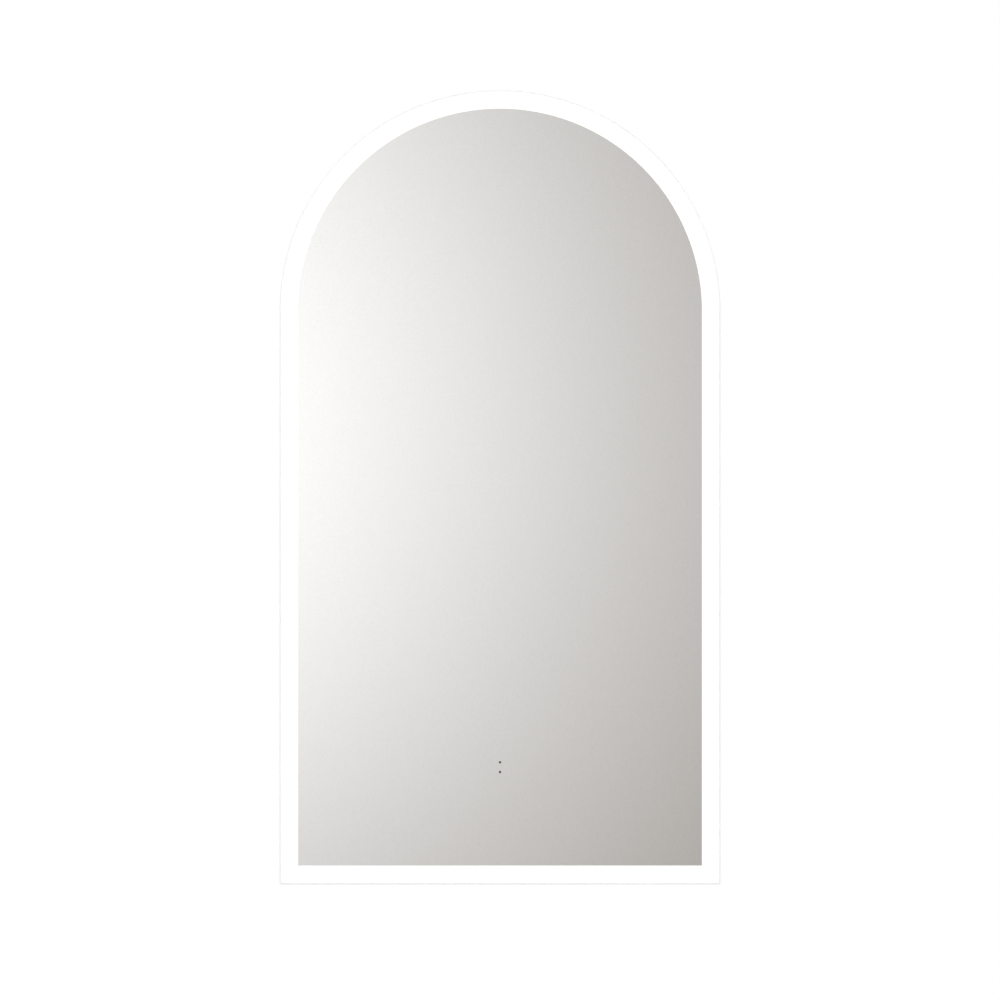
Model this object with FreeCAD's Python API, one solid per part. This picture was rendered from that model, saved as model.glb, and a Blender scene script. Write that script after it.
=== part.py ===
import FreeCAD, Part
import math
import os

# An arched wall mirror, lit round its edge. Millimetres.
# +X is to the viewer's right, +Y runs into the wall and +Z is up. The origin is on the wall, midway between
# the two screw slots of the wall rail. The mirror hangs on that rail by a hook, and lifts straight up off it.
# "Depth" is measured back from the frame's front lip, and "inset" inwards from the frame's outline.

Vector = FreeCAD.Vector
right = Vector(1, 0, 0)
left = Vector(-1, 0, 0)
back = Vector(0, 1, 0)
front = Vector(0, -1, 0)
up = Vector(0, 0, 1)
down = Vector(0, 0, -1)
tiny = 1e-4

# Overall
mirror_width = 500.0
mirror_height = 900.0
wall_gap = 2.0
corner_radius = 2.0

# Glass, and the layers on its back
glass_thickness = 5.0
glass_side_gap = 0.2
glass_arris = 0.4
frosted_band = 20.0
silver_thickness = 0.1
film_thickness = 0.2
bond_tape_thickness = 0.7
bond_tape_margin = 0.6
seal_thickness = 0.6

# Frame extrusion: outer lip, light trough, glass flange, and rear slot for keys and bumpers
frame_wall = 1.2
ledge_width = 1.5
glass_flange = 11.6
rear_lip = 4.0
rear_slot = 3.6
strip_rib_height = 0.6
strip_rib_width = 0.8
lip_arris = 0.3

# Corner keys in the rear slot
key_thickness = 3.2
key_side_gap = 0.3
key_reach = 40.0
key_corner = 2.0
key_inner_corner = 0.5
key_screw_gap = 8.8
key_screw_pitch = 24.0

# Screws: all of one diameter
screw_diameter = 2.9
screw_head = 5.6
screw_head_height = 2.0
screw_gap = 0.3
screw_grip = 3.0

# Sheet metal
bend_radius = 1.0
tab_rear_gap = 0.3
sheet_edge_round = 0.5

# Wall rail
rail_length = 320.0
rail_thickness = 2.0
rail_base_height = 30.0
rail_hook_gap = 6.0
rail_flange_height = 14.0
rail_corner = 5.0
rail_slot_spacing = 250.0
rail_slot_length = 15.0
rail_slot_width = 5.5

# Hanger bar, which hooks over the rail
hanger_thickness = 2.0
hanger_height = 30.0
hanger_end_height = 24.0
hanger_clearance = 1.6
hanger_below_spring = 6.0
hook_length = 340.0
hook_clearance = 0.8
hook_tip_clearance = 2.0
hanger_slot_length = 46.0
hanger_slot_height = 8.0
hanger_slot_count = 5
hanger_screw_pitch = 12.0

# Tray across the lower part, which carries the driver and the junction box
tray_thickness = 1.5
tray_height = 64.0
tray_lead_gap = 1.9
tray_tab_height = 50.0
tray_glass_gap = 1.0
tray_above_foot = 230.0
tray_end_gap = 6.0
tray_screw_pitch = 32.0
device_wall_gap = 1.0

# Covers of the moulded cases
boss_diameter = 7.0
boss_inset = 0.6
cover_bevel = 0.8
cover_screw_sink = 1.2
cover_screw_length = 8.0
cover_screw_bore = 9.0

# Junction box
junction_width = 76.0
junction_height = 50.0
junction_wall = 1.6
junction_cover_thickness = 2.5
junction_corner = 4.0
junction_end_gap = 25.0
junction_screw_inset = 9.0
junction_lead_inset = 20.0
panel_margin = 8.5
panel_sink = 0.5
panel_corner = 3.0

# Terminal block in the junction box
terminal_poles = 3
terminal_pitch = 10.0
terminal_height = 17.0
terminal_depth = 9.0
terminal_gap = 0.6
terminal_bore = 3.4
terminal_bore_lift = 3.0
terminal_web = 6.0
terminal_web_depth = 2.6
terminal_offset = 3.0
terminal_screw = 4.2
terminal_screw_sink = 4.0
terminal_screw_height = 2.5
terminal_screw_pitch = 7.4

# Cable gland of the junction box
gland_thread = 12.0
gland_shoulder = 1.0
gland_room_gap = 0.6
gland_bore = 6.6
gland_bore_gap = 0.4
gland_flange = 4.0
gland_locknut = 3.0
gland_spigot_end = 1.0
gland_dome_length = 13.0
gland_rib_count = 12
gland_groove = 1.4
gland_groove_start = 1.5
gland_notch_gap = 2.0

# Driver: the power supply for the light
driver_length = 140.0
driver_height = 42.0
driver_wall = 1.8
driver_cover_thickness = 2.7
driver_corner = 4.0
driver_ear = 12.0
driver_ear_width = 14.0
driver_ear_thickness = 3.0
driver_ear_rise = 13.0
driver_gap = 53.0
driver_rib_count = 9
driver_rib_pitch = 11.0
driver_rib_width = 3.0
driver_rib_height = 0.8
driver_rib_margin = 8.0
driver_peg = 5.0
driver_peg_height = 2.0
driver_peg_inset = 9.0

# Driver's circuit
board_thickness = 1.6
board_gap = 0.6
part_headroom = 1.0
core_x = -6.0
core_width = 26.0
core_length = 20.0
core_leg = 4.0
core_lift = 1.2
yoke_thickness = 1.4
winding_gap = 0.3
winding_length = 24.0
bobbin_flange = 1.5
# Capacitors on the board: (along, across, diameter, room left under the cover)
capacitors = [(-38, 5, 12, 1.2), (-38, -8, 8, 2.9), (30, 7, 10, 1.2), (30, -7, 10, 1.2), (46, 0, 8, 2.6)]

# Wave sensor behind the two small windows
window_diameter = 2.8
window_pitch = 11.0
window_above_foot = 132.7
window_case_gap = 0.5
lens_diameter = 2.5
lens_glass_gap = 0.05
sensor_width = 36.0
sensor_height = 46.0
sensor_depth = 10.0
sensor_wall = 1.5
sensor_cover_thickness = 1.5
sensor_corner = 3.0
sensor_tape_thickness = 0.5
sensor_tape_margin = 1.0
sensor_board_thickness = 0.8
sensor_board_depth = 4.6
sensor_lead_pitch = 26.0
cover_spigot = 1.0
cover_spigot_wall = 1.0
cover_fit = 0.1

# Demister pad
pad_width = 300.0
pad_height = 260.0
pad_thickness = 0.6
pad_corner = 10.0
pad_above_tray = 36.0
boot_width = 26.0
boot_height = 12.0
boot_depth = 5.0
boot_corner = 2.0
boot_inset = 13.0
boot_rise = 6.0
boot_socket = 5.0

# Light strips
strip_width = 8.0
strip_thickness = 0.4
strip_side_gap = 0.2
strip_corner_gap = 14.0
led_along = 2.8
led_across = 3.5
led_height = 0.7
led_pitch = 16.7

# Leads: straight runs joined by arcs of up to this many diameters
lead_bend = 8.0
mains_diameter = 6.0
lead_diameter = 3.6
tail_width = 1.6
tail_thickness = 1.0
earth_diameter = 2.4
lead_sag = 3.0
lead_step = 14.0
lead_turn = 16.0
lead_dive = 18.0
lead_tail = 2.0
tail_gap = 0.1
tail_step = 3.0
nozzle_length = 7.0
nozzle_wall = 1.2
nozzle_taper = 1.0

# Clips on the film, and the grommet where the light lead enters the trough
clip_size = 12.0
clip_base = 1.2
clip_wall = 1.1
clip_fit = 0.1
clip_length = 7.0
clip_mouth = 0.8
clip_spacing = 46.0
feed_hole = 6.0
feed_gap = 6.6
grommet_rim = 1.0
light_lead_inset = 39.6
light_lead_rise = 12.0

# Earth tag on the tray
tag_ring = 7.2
tag_thickness = 0.8
tag_neck = 3.2
tag_barrel_wall = 0.5
tag_barrel_length = 4.4
tag_barrel_reach = 8.4
tag_grip = 3.2
earth_along = 29.0
earth_drop = 17.0
earth_exit_drop = 15.0
earth_exit_lift = 2.0
earth_lead_run = 9.0

# Bumpers
bumper_length = 24.0
bumper_width = 19.0
bumper_corner = 3.0
bumper_stem = 2.4
bumper_stem_gap = 0.2
bumper_stem_inset = 2.0
bumper_key_gap = 16.0
bumper_below_spring = 60.0

# Depths behind the front lip. The frame is as deep as its junction box needs for a gland of this thread.
gland_hex = gland_thread + 2 * gland_shoulder
silver_back = glass_thickness + silver_thickness
film_back = silver_back + film_thickness
flange_front = film_back + bond_tape_thickness
flange_back = flange_front + frame_wall
ledge_front = glass_thickness + seal_thickness
tray_front = flange_back + tray_glass_gap
tray_back = tray_front + tray_thickness
junction_back = tray_back + junction_wall + gland_hex + 2 * gland_room_gap
cover_back = junction_back + junction_cover_thickness
frame_depth = cover_back + device_wall_gap
lip_front = frame_depth - frame_wall
slot_floor_back = lip_front - rear_slot
slot_floor_front = slot_floor_back - frame_wall
slot_middle = (slot_floor_back + lip_front) / 2
strip_middle = (flange_back + slot_floor_front) / 2
strip_front = strip_middle - strip_width / 2
driver_back = cover_back - driver_rib_height - driver_cover_thickness
driver_board_front = tray_back + driver_wall + driver_peg_height
driver_board_back = driver_board_front + board_thickness
supply_depth = (tray_back + junction_wall + junction_back) / 2
tray_flange_tip = supply_depth - lead_diameter / 2 - tray_lead_gap
sensor_front = film_back + sensor_tape_thickness
sensor_case_back = sensor_front + sensor_depth - sensor_cover_thickness
sensor_board_front = sensor_front + sensor_board_depth
pad_back = film_back + pad_thickness
lead_depth = film_back + clip_base + clip_fit + lead_diameter / 2

# Insets from the outline
chamber_inset = frame_wall + frosted_band
wall_inset = chamber_inset + frame_wall
flange_inset = wall_inset + glass_flange
glass_inset = frame_wall + glass_side_gap
slot_low = frame_wall + rear_lip
slot_high = wall_inset - rear_lip
slot_centre = (slot_low + slot_high) / 2

# Heights and places that follow from the rail
rail_shoulder = rail_base_height / 2
rail_top = rail_shoulder + rail_flange_height
hook_tip = rail_shoulder + hook_tip_clearance
hanger_foot = rail_top + hanger_thickness
hanger_top = hanger_foot + hanger_height
hanger_z = hanger_foot + hanger_height / 2
hook_back_y = hook_clearance + hanger_thickness - rail_hook_gap
hanger_back_y = -(rail_hook_gap + rail_thickness + hanger_clearance)
spring_z = hanger_top + hanger_below_spring
top_z = spring_z + mirror_width / 2
foot_z = top_z - mirror_height
front_y = -(wall_gap + frame_depth)
leg_x = mirror_width / 2 - wall_inset
chamber_x = mirror_width / 2 - chamber_inset

# Places on the tray and on the glass
tray_z = foot_z + tray_above_foot
tray_low = tray_z - tray_height / 2
tray_high = tray_z + tray_height / 2
tray_half = leg_x - tray_end_gap
junction_x = -(tray_half - junction_end_gap - junction_width / 2)
junction_side = junction_x + junction_width / 2
driver_x = junction_side + driver_gap + driver_ear + driver_length / 2
driver_start = driver_x - driver_length / 2
driver_end = driver_x + driver_length / 2
sensor_z = foot_z + window_above_foot
pad_foot_z = tray_high + pad_above_tray
boot_x = boot_inset + boot_width / 2 - pad_width / 2
boot_foot_z = pad_foot_z + boot_rise
strip_foot_z = foot_z + chamber_inset + strip_corner_gap


def y_at(depth):
    """The Y of a depth."""
    return front_y + depth


def at(x, depth, z):
    return Vector(x, y_at(depth), z)


# Where a flat outline's (a, b) points go
def in_xz(y):
    return lambda a, b: Vector(a, y, b)


def in_yz(x):
    return lambda a, b: Vector(x, a, b)


def in_xy(z):
    return lambda a, b: Vector(a, b, z)


# Outlines and solids
def rounded_wire(points, radii, place):
    """A closed wire through the points, with each corner rounded to its radius, or to one for all."""
    if not isinstance(radii, list):
        radii = [radii] * len(points)
    corners = [place(a, b) for a, b in points]
    starts, ends, arc_middles = [], [], []
    for i, corner in enumerate(corners):
        to_last = (corners[i - 1] - corner).normalize()
        to_next = (corners[(i + 1) % len(corners)] - corner).normalize()
        half_angle = to_last.getAngle(to_next) / 2
        reach = radii[i] / math.tan(half_angle)
        inward = (to_last + to_next).normalize()
        starts.append(corner + to_last * reach)
        ends.append(corner + to_next * reach)
        arc_middles.append(corner + inward * (radii[i] / math.sin(half_angle) - radii[i]))
    edges = []
    for i, middle in enumerate(arc_middles):
        if radii[i] > 0:
            edges.append(Part.Arc(starts[i], middle, ends[i]).toShape())
        following = starts[(i + 1) % len(starts)]
        if ends[i].distanceToPoint(following) > tiny:
            edges.append(Part.LineSegment(ends[i], following).toShape())
    return Part.Wire(edges)


def prism(points, radii, place, travel):
    """The rounded outline carried along travel."""
    return Part.Face(rounded_wire(points, radii, place)).extrude(travel)


def rectangle(a0, a1, b0, b1):
    return [(a0, b0), (a1, b0), (a1, b1), (a0, b1)]


def centred(a, b, width, height):
    return rectangle(a - width / 2, a + width / 2, b - height / 2, b + height / 2)


def plate(outline, near, far, radius=0.0):
    """A flat outline in the plane of the mirror, between two depths."""
    return prism(outline, radius, in_xz(y_at(near)), back * (far - near))


def cylinder(diameter, seat, out, length):
    return Part.makeCylinder(diameter / 2, length, seat, out)


def stood(shape, seat, out):
    """The shape with its +Z turned to out, and its origin at seat."""
    shape.Placement = FreeCAD.Placement(seat, FreeCAD.Rotation(up, out))
    return shape


def lathed(points, seat, out):
    """A turned solid from (radius, height) points, standing at seat and pointing along out."""
    outline = [Vector(radius, 0, height) for radius, height in points]
    face = Part.Face(Part.makePolygon(outline + outline[:1]))
    return stood(face.revolve(Vector(0, 0, 0), up, 360), seat, out)


def hexagonal(across_flats, height, seat, out):
    """A hexagonal bar, with two of its flats facing front and back when it stands upright."""
    radius = across_flats / math.sqrt(3)
    turns = [math.pi / 3 * i for i in range(6)]
    points = [(radius * math.cos(turn), radius * math.sin(turn)) for turn in turns]
    return stood(prism(points, 0, in_xy(0), up * height), seat, out)


def mirrored(shape):
    """The same piece on the left."""
    return shape.mirror(Vector(0, 0, 0), right)


def both_sides(shapes):
    return shapes + [mirrored(shape) for shape in shapes]


def fused(shapes):
    return shapes[0].fuse(shapes[1:]).removeSplitter()


def rim(shape, depth):
    """The edges of a solid that lie at a depth."""
    return [e for e in shape.Edges if e.BoundBox.YLength < tiny and abs(e.BoundBox.YMin - y_at(depth)) < tiny]


def corner_places(x, z, width, height, inset):
    """The four corners of a rectangle, moved in by inset."""
    across, along = width / 2 - inset, height / 2 - inset
    return [(x + i * across, z + j * along) for i in (-1, 1) for j in (-1, 1)]


def pan_screw(seat, out, grip):
    """A screw with its head above its seat and its shank below."""
    head = cylinder(screw_head, seat, out, screw_head_height)
    return fused([head, cylinder(screw_diameter, seat, -out, grip)])


# The arch: two legs, a half circle over them and a foot
def arch_outline(inset, depth, foot_corner=0.0):
    y = y_at(depth)
    half = mirror_width / 2 - inset
    foot = foot_z + inset
    head = Part.Arc(Vector(-half, y, spring_z), Vector(0, y, spring_z + half), Vector(half, y, spring_z))
    sides = [(half, spring_z), (half, foot + foot_corner), (half - foot_corner, foot)]
    sides += [(foot_corner - half, foot), (-half, foot + foot_corner), (-half, spring_z)]
    points = [Vector(x, y, z) for x, z in sides]
    edges = [head.toShape(), Part.LineSegment(points[0], points[1]).toShape()]
    if foot_corner > 0:
        bulge = foot_corner * (1 - math.sqrt(0.5))
        right_middle = Vector(half - bulge, y, foot + bulge)
        left_middle = Vector(bulge - half, y, foot + bulge)
        edges.append(Part.Arc(points[1], right_middle, points[2]).toShape())
        edges.append(Part.LineSegment(points[2], points[3]).toShape())
        edges.append(Part.Arc(points[3], left_middle, points[4]).toShape())
    else:
        edges.append(Part.LineSegment(points[1], points[4]).toShape())
    edges.append(Part.LineSegment(points[4], points[5]).toShape())
    return Part.Wire(edges)


def arch_plate(inset, near, far, foot_corner=0.0):
    return Part.Face(arch_outline(inset, near, foot_corner)).extrude(back * (far - near))


def arch_ring(outer_inset, inner_inset, near, far):
    return arch_plate(outer_inset, near, far).cut(arch_plate(inner_inset, near, far))


# Glass and its layers
def mirror_glass():
    pane = arch_plate(glass_inset, 0, glass_thickness)
    return pane.makeChamfer(glass_arris, rim(pane, 0) + rim(pane, glass_thickness))


def window_places():
    """The heights of the sensor's two windows."""
    return [sensor_z - window_pitch / 2, sensor_z + window_pitch / 2]


def window_holes(near, far, diameter):
    return [cylinder(diameter, at(0, near, z), back, far - near) for z in window_places()]


def silvering():
    layer = arch_plate(chamber_inset, glass_thickness, silver_back)
    return layer.cut(window_holes(glass_thickness, silver_back, window_diameter))


def safety_film():
    layer = arch_plate(chamber_inset, silver_back, film_back)
    return layer.cut(window_holes(silver_back, film_back, window_diameter))


def bond_tape():
    return arch_ring(wall_inset + bond_tape_margin, flange_inset - bond_tape_margin, film_back, flange_front)


def edge_seal():
    return arch_ring(glass_inset, frame_wall + ledge_width, glass_thickness, ledge_front)


# Frame
def frame_profile():
    """(inset, depth) points round the extrusion's section, from the front lip."""
    reach = strip_width / 2 + strip_side_gap
    rib_inset = chamber_inset - strip_rib_height
    ribs = []
    for near in (strip_middle + reach, strip_middle - reach - strip_rib_width):
        far = near + strip_rib_width
        ribs += [(chamber_inset, far), (rib_inset, far), (rib_inset, near), (chamber_inset, near)]
    ledge_inset = frame_wall + ledge_width
    return [
        (0, lip_arris),
        (lip_arris, 0),
        (frame_wall, 0),
        (frame_wall, ledge_front),
        (ledge_inset, ledge_front),
        (ledge_inset, ledge_front + frame_wall),
        (frame_wall, ledge_front + frame_wall),
        (frame_wall, slot_floor_front),
        (chamber_inset, slot_floor_front),
        *ribs,
        (chamber_inset, flange_front),
        (flange_inset, flange_front),
        (flange_inset, flange_back),
        (wall_inset, flange_back),
        (wall_inset, frame_depth),
        (slot_high, frame_depth),
        (slot_high, lip_front),
        (chamber_inset, lip_front),
        (chamber_inset, slot_floor_back),
        (frame_wall, slot_floor_back),
        (frame_wall, lip_front),
        (slot_low, lip_front),
        (slot_low, frame_depth),
        (0, frame_depth),
    ]


def frame_section(place):
    """The section's face, where place gives each point from its inset and its Y."""
    points = [place(inset, y_at(depth)) for inset, depth in frame_profile()]
    return Part.Face(Part.makePolygon(points + points[:1]))


def tab_screw_seats(middle_z, pitch):
    """Where the screws of a cross member enter the right leg, on its inner face."""
    return [at(leg_x, slot_middle, middle_z + side * pitch / 2) for side in (-1, 1)]


def feed_seat():
    """Where the light lead enters the right leg."""
    return at(leg_x, strip_middle, foot_z + wall_inset + feed_gap)


def leg_holes():
    seats = tab_screw_seats(hanger_z, hanger_screw_pitch) + tab_screw_seats(tray_z, tray_screw_pitch)
    screw_holes = [cylinder(screw_diameter, seat, right, frame_wall) for seat in seats]
    return both_sides(screw_holes) + [cylinder(feed_hole, feed_seat(), right, frame_wall)]


def key_screw_places():
    """(x, z) of the four screws of the right corner key, two in each of its arms."""
    x, z = mirror_width / 2 - slot_centre, foot_z + slot_centre
    first = chamber_inset + key_screw_gap - slot_centre
    steps = [first, first + key_screw_pitch]
    return [(x, z + step) for step in steps] + [(x - step, z) for step in steps]


def key_holes():
    seats = [at(x, slot_floor_front, z) for x, z in key_screw_places()]
    return both_sides([cylinder(screw_diameter, seat, back, frame_wall) for seat in seats])


def frame_block():
    """The space that the frame fills, with its lower corners rounded."""
    return arch_plate(0, 0, frame_depth, corner_radius)


def frame_arch():
    """The legs and the bent head in one length, mitred at the foot."""
    half = mirror_width / 2
    foot_section = frame_section(lambda inset, y: Vector(half - inset, y, foot_z))
    leg = foot_section.extrude(up * (spring_z - foot_z))
    spring_section = frame_section(lambda inset, y: Vector(half - inset, y, spring_z))
    head = spring_section.revolve(Vector(0, 0, spring_z), front, 180)
    above_mitres = [(-half, foot_z), (0, foot_z + half), (half, foot_z), (half, top_z), (-half, top_z)]
    whole = fused([leg, head, mirrored(leg)]).common(frame_block())
    return whole.common(plate(above_mitres, 0, frame_depth)).cut(leg_holes() + key_holes())


def frame_foot():
    """The straight length across the bottom, mitred at both ends."""
    half = mirror_width / 2
    bar = frame_section(lambda inset, y: Vector(-half, y, foot_z + inset)).extrude(right * mirror_width)
    between = [(-half, foot_z), (half, foot_z), (0, foot_z + half)]
    return bar.common(plate(between, 0, frame_depth)).common(frame_block()).cut(key_holes())


def countersunk(grip):
    """(radius, height) points of a countersunk screw whose head is flush with its seat."""
    radius, head = screw_diameter / 2, screw_head / 2
    return [(0, 0), (head, 0), (radius, radius - head), (radius, -grip), (0, -grip)]


def corner_key():
    """A flat L in the rear slot, which holds the mitred corner together. On the right."""
    low, high = frame_wall + key_side_gap, chamber_inset - key_side_gap
    arm = chamber_inset + key_reach
    x, z = mirror_width / 2, foot_z
    outline = [
        (x - low, z + low),
        (x - low, z + arm),
        (x - high, z + arm),
        (x - high, z + high),
        (x - arm, z + high),
        (x - arm, z + low),
    ]
    key_back = slot_floor_back + key_thickness
    corners = [key_corner] * len(outline)
    corners[3] = key_inner_corner
    key = plate(outline, slot_floor_back, key_back, corners)
    cuts = []
    for hole_x, hole_z in key_screw_places():
        cuts.append(cylinder(screw_diameter, at(hole_x, slot_floor_back, hole_z), back, key_thickness))
        cuts.append(lathed(countersunk(key_thickness), at(hole_x, key_back, hole_z), back))
    return key.cut(cuts)


def corner_screws():
    grip = key_thickness + frame_wall
    key_back = slot_floor_back + key_thickness
    return both_sides([lathed(countersunk(grip), at(x, key_back, z), back) for x, z in key_screw_places()])


def bumper(z):
    """A rubber pad between frame and wall, with a stem in the rear slot. On the right."""
    x = mirror_width / 2 - slot_centre
    outline = centred(x, z, bumper_width, bumper_length)
    pad = plate(outline, frame_depth, frame_depth + wall_gap, bumper_corner)
    stem_width = slot_high - slot_low - 2 * bumper_stem_gap
    stem_outline = centred(x, z, stem_width, bumper_length - 2 * bumper_stem_inset)
    return fused([pad, plate(stem_outline, frame_depth - bumper_stem, frame_depth)])


def wall_bumpers():
    lower = foot_z + chamber_inset + key_reach + bumper_key_gap
    return both_sides([bumper(lower), bumper(spring_z - bumper_below_spring)])


# Sheet metal: wall rail, hanger bar and tray
def folded(points, thickness, half_length, first_bend, second_bend):
    """A strip folded twice, from its (y, z) section. Each bend is a pair of (outer, inner) corner numbers."""
    radii = [sheet_edge_round] * len(points)
    for outer, inner in (first_bend, second_bend):
        radii[outer] = bend_radius + thickness
        radii[inner] = bend_radius
    return prism(points, radii, in_yz(-half_length), right * 2 * half_length)


def wall_rail():
    """Flat against the wall, then a shoulder out and a flange up for the hook."""
    flange_back_y, flange_front_y = -rail_hook_gap, -rail_hook_gap - rail_thickness
    section = [
        (0, -rail_shoulder),
        (0, rail_shoulder),
        (flange_back_y, rail_shoulder),
        (flange_back_y, rail_top),
        (flange_front_y, rail_top),
        (flange_front_y, rail_shoulder - rail_thickness),
        (-rail_thickness, rail_shoulder - rail_thickness),
        (-rail_thickness, -rail_shoulder),
    ]
    half = rail_length / 2
    rail = folded(section, rail_thickness, half, (1, 6), (5, 2))
    face = rectangle(-half, half, -rail_shoulder, rail_top)
    rail = rail.common(prism(face, rail_corner, in_xz(flange_front_y), back * -flange_front_y))
    cuts = []
    for x in (-rail_slot_spacing / 2, rail_slot_spacing / 2):
        slot = centred(x, 0, rail_slot_length, rail_slot_width)
        cuts.append(prism(slot, rail_slot_width / 2, in_xz(-rail_thickness), back * rail_thickness))
    return rail.cut(cuts)


def cross_member(web_front, thickness, height, middle_z):
    """A strip from leg to leg, with a tab bent back along each."""
    inner = leg_x - thickness
    near, far, tip = y_at(web_front), y_at(web_front + thickness), y_at(frame_depth - tab_rear_gap)
    section = [
        (-leg_x, tip),
        (-leg_x, near),
        (leg_x, near),
        (leg_x, tip),
        (inner, tip),
        (inner, far),
        (-inner, far),
        (-inner, tip),
    ]
    outer_bend = bend_radius + thickness
    radii = [0, outer_bend, outer_bend, 0, 0, bend_radius, bend_radius, 0]
    return prism(section, radii, in_xy(middle_z - height / 2), up * height)


def tab_holes(middle_z, pitch, thickness):
    diameter, seats = screw_diameter + screw_gap, tab_screw_seats(middle_z, pitch)
    return both_sides([cylinder(diameter, seat, left, thickness) for seat in seats])


def tab_screws(middle_z, pitch, thickness):
    """Screws through the tabs of a cross member into the legs."""
    grip = thickness + frame_wall + screw_grip
    seats = tab_screw_seats(middle_z, pitch)
    return both_sides([pan_screw(seat + left * thickness, left, grip) for seat in seats])


def hanger_bar():
    """A hook down behind the rail, a shelf that rests on the rail, and a web up, which the ends carry on."""
    web_front_y = hanger_back_y - hanger_thickness
    hook_front_y = hook_back_y - hanger_thickness
    section = [
        (hook_back_y, hook_tip),
        (hook_back_y, hanger_foot),
        (hanger_back_y, hanger_foot),
        (hanger_back_y, hanger_top),
        (web_front_y, hanger_top),
        (web_front_y, rail_top),
        (hook_front_y, rail_top),
        (hook_front_y, hook_tip),
    ]
    hook = folded(section, hanger_thickness, hook_length / 2, (1, 6), (5, 2))
    ends = cross_member(web_front_y - front_y, hanger_thickness, hanger_end_height, hanger_z)
    cuts = tab_holes(hanger_z, hanger_screw_pitch, hanger_thickness)
    pitch = hook_length / hanger_slot_count
    for i in range(hanger_slot_count):
        x = (i - (hanger_slot_count - 1) / 2) * pitch
        slot = centred(x, hanger_z, hanger_slot_length, hanger_slot_height)
        cuts.append(prism(slot, hanger_slot_height / 2, in_xz(web_front_y), back * hanger_thickness))
    return fused([hook, ends]).cut(cuts)


def tray():
    near, far, flange_tip = y_at(tray_front), y_at(tray_back), y_at(tray_flange_tip)
    section = [
        (flange_tip, tray_high),
        (near, tray_high),
        (near, tray_low),
        (flange_tip, tray_low),
        (flange_tip, tray_low + tray_thickness),
        (far, tray_low + tray_thickness),
        (far, tray_high - tray_thickness),
        (flange_tip, tray_high - tray_thickness),
    ]
    outer_bend = bend_radius + tray_thickness
    radii = [0, outer_bend, outer_bend, 0, 0, bend_radius, bend_radius, 0]
    channel = prism(section, radii, in_yz(-tray_half), right * 2 * tray_half)
    ends = cross_member(tray_front, tray_thickness, tray_tab_height, tray_z)
    cuts = tab_holes(tray_z, tray_screw_pitch, tray_thickness)
    for seat in device_seats():
        cuts.append(cylinder(screw_diameter, at(seat.x, tray_front, seat.z), back, tray_thickness))
    notch_half = gland_hex / math.sqrt(3) + gland_notch_gap
    notch_top = tray_z - junction_height / 2
    notch = rectangle(junction_x - notch_half, junction_x + notch_half, tray_low, notch_top)
    cuts.append(plate(notch, tray_front, tray_flange_tip))
    return fused([channel, ends]).cut(cuts)


def junction_seats():
    """Seats of the two screws in the junction box's floor."""
    reach = junction_width / 2 - junction_screw_inset
    return [at(junction_x + side * reach, tray_back + junction_wall, tray_z) for side in (-1, 1)]


def ear_places():
    """(x, z) of the driver's two ears: high on the left, low on the right."""
    reach = driver_length / 2 + driver_ear / 2
    return [(driver_x - reach, tray_z + driver_ear_rise), (driver_x + reach, tray_z - driver_ear_rise)]


def ear_seats():
    return [at(x, tray_back + driver_ear_thickness, z) for x, z in ear_places()]


def earth_seat():
    return at(junction_side + earth_along, tray_back, tray_z - earth_drop)


def device_seats():
    return junction_seats() + ear_seats() + [earth_seat()]


def device_screws():
    """The screws that hold the junction box and the driver to the tray."""
    through_floor = junction_wall + tray_thickness + screw_grip / 2
    through_ear = driver_ear_thickness + tray_thickness
    screws = [pan_screw(seat, back, through_floor) for seat in junction_seats()]
    return screws + [pan_screw(seat, back, through_ear) for seat in ear_seats()]


# Moulded cases
def shell(x, z, width, height, near, far, wall, corner):
    """A case that is open at the back."""
    outer = plate(centred(x, z, width, height), near, far, corner)
    inner_outline = centred(x, z, width - 2 * wall, height - 2 * wall)
    return outer.cut(plate(inner_outline, near + wall, far, corner - wall))


def cover_plate(x, z, width, height, near, far, corner):
    """A cover with its back edge bevelled."""
    cover = plate(centred(x, z, width, height), near, far, corner)
    return cover.makeChamfer(cover_bevel, rim(cover, far))


def boss_places(x, z, width, height):
    return corner_places(x, z, width, height, boss_diameter / 2 + boss_inset)


def bosses(places, near, far):
    return [cylinder(boss_diameter, at(x, near, z), back, far - near) for x, z in places]


def boss_bores(places, far):
    return [cylinder(screw_diameter, at(x, far, z), front, cover_screw_bore) for x, z in places]


def cover_holes(places, near, far):
    """Clearance holes, with a sink for each screw's head."""
    cuts = []
    for x, z in places:
        cuts.append(cylinder(screw_diameter + screw_gap, at(x, near, z), back, far - near))
        cuts.append(cylinder(screw_head + screw_gap, at(x, far, z), front, cover_screw_sink))
    return cuts


def cover_screws(places, far):
    return [pan_screw(at(x, far - cover_screw_sink, z), back, cover_screw_length) for x, z in places]


# Junction box
def junction_corners():
    return boss_places(junction_x, tray_z, junction_width, junction_height)


def junction_box():
    size = (junction_x, tray_z, junction_width, junction_height)
    box = shell(*size, tray_back, junction_back, junction_wall, junction_corner)
    posts = bosses(junction_corners(), tray_back + junction_wall / 2, junction_back)
    cuts = boss_bores(junction_corners(), junction_back)
    for seat in junction_seats():
        cuts.append(cylinder(screw_diameter + screw_gap, seat, front, junction_wall))
    cuts.append(cylinder(gland_thread, gland_seat(), up, junction_wall))
    cuts.append(cylinder(mains_diameter, mains_route()[0], right, junction_wall))
    cuts.append(cylinder(earth_diameter, earth_route()[0], right, junction_wall))
    cuts.append(cylinder(lead_diameter, demister_route()[0], up, junction_wall))
    return fused([box] + posts).cut(cuts)


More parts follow.
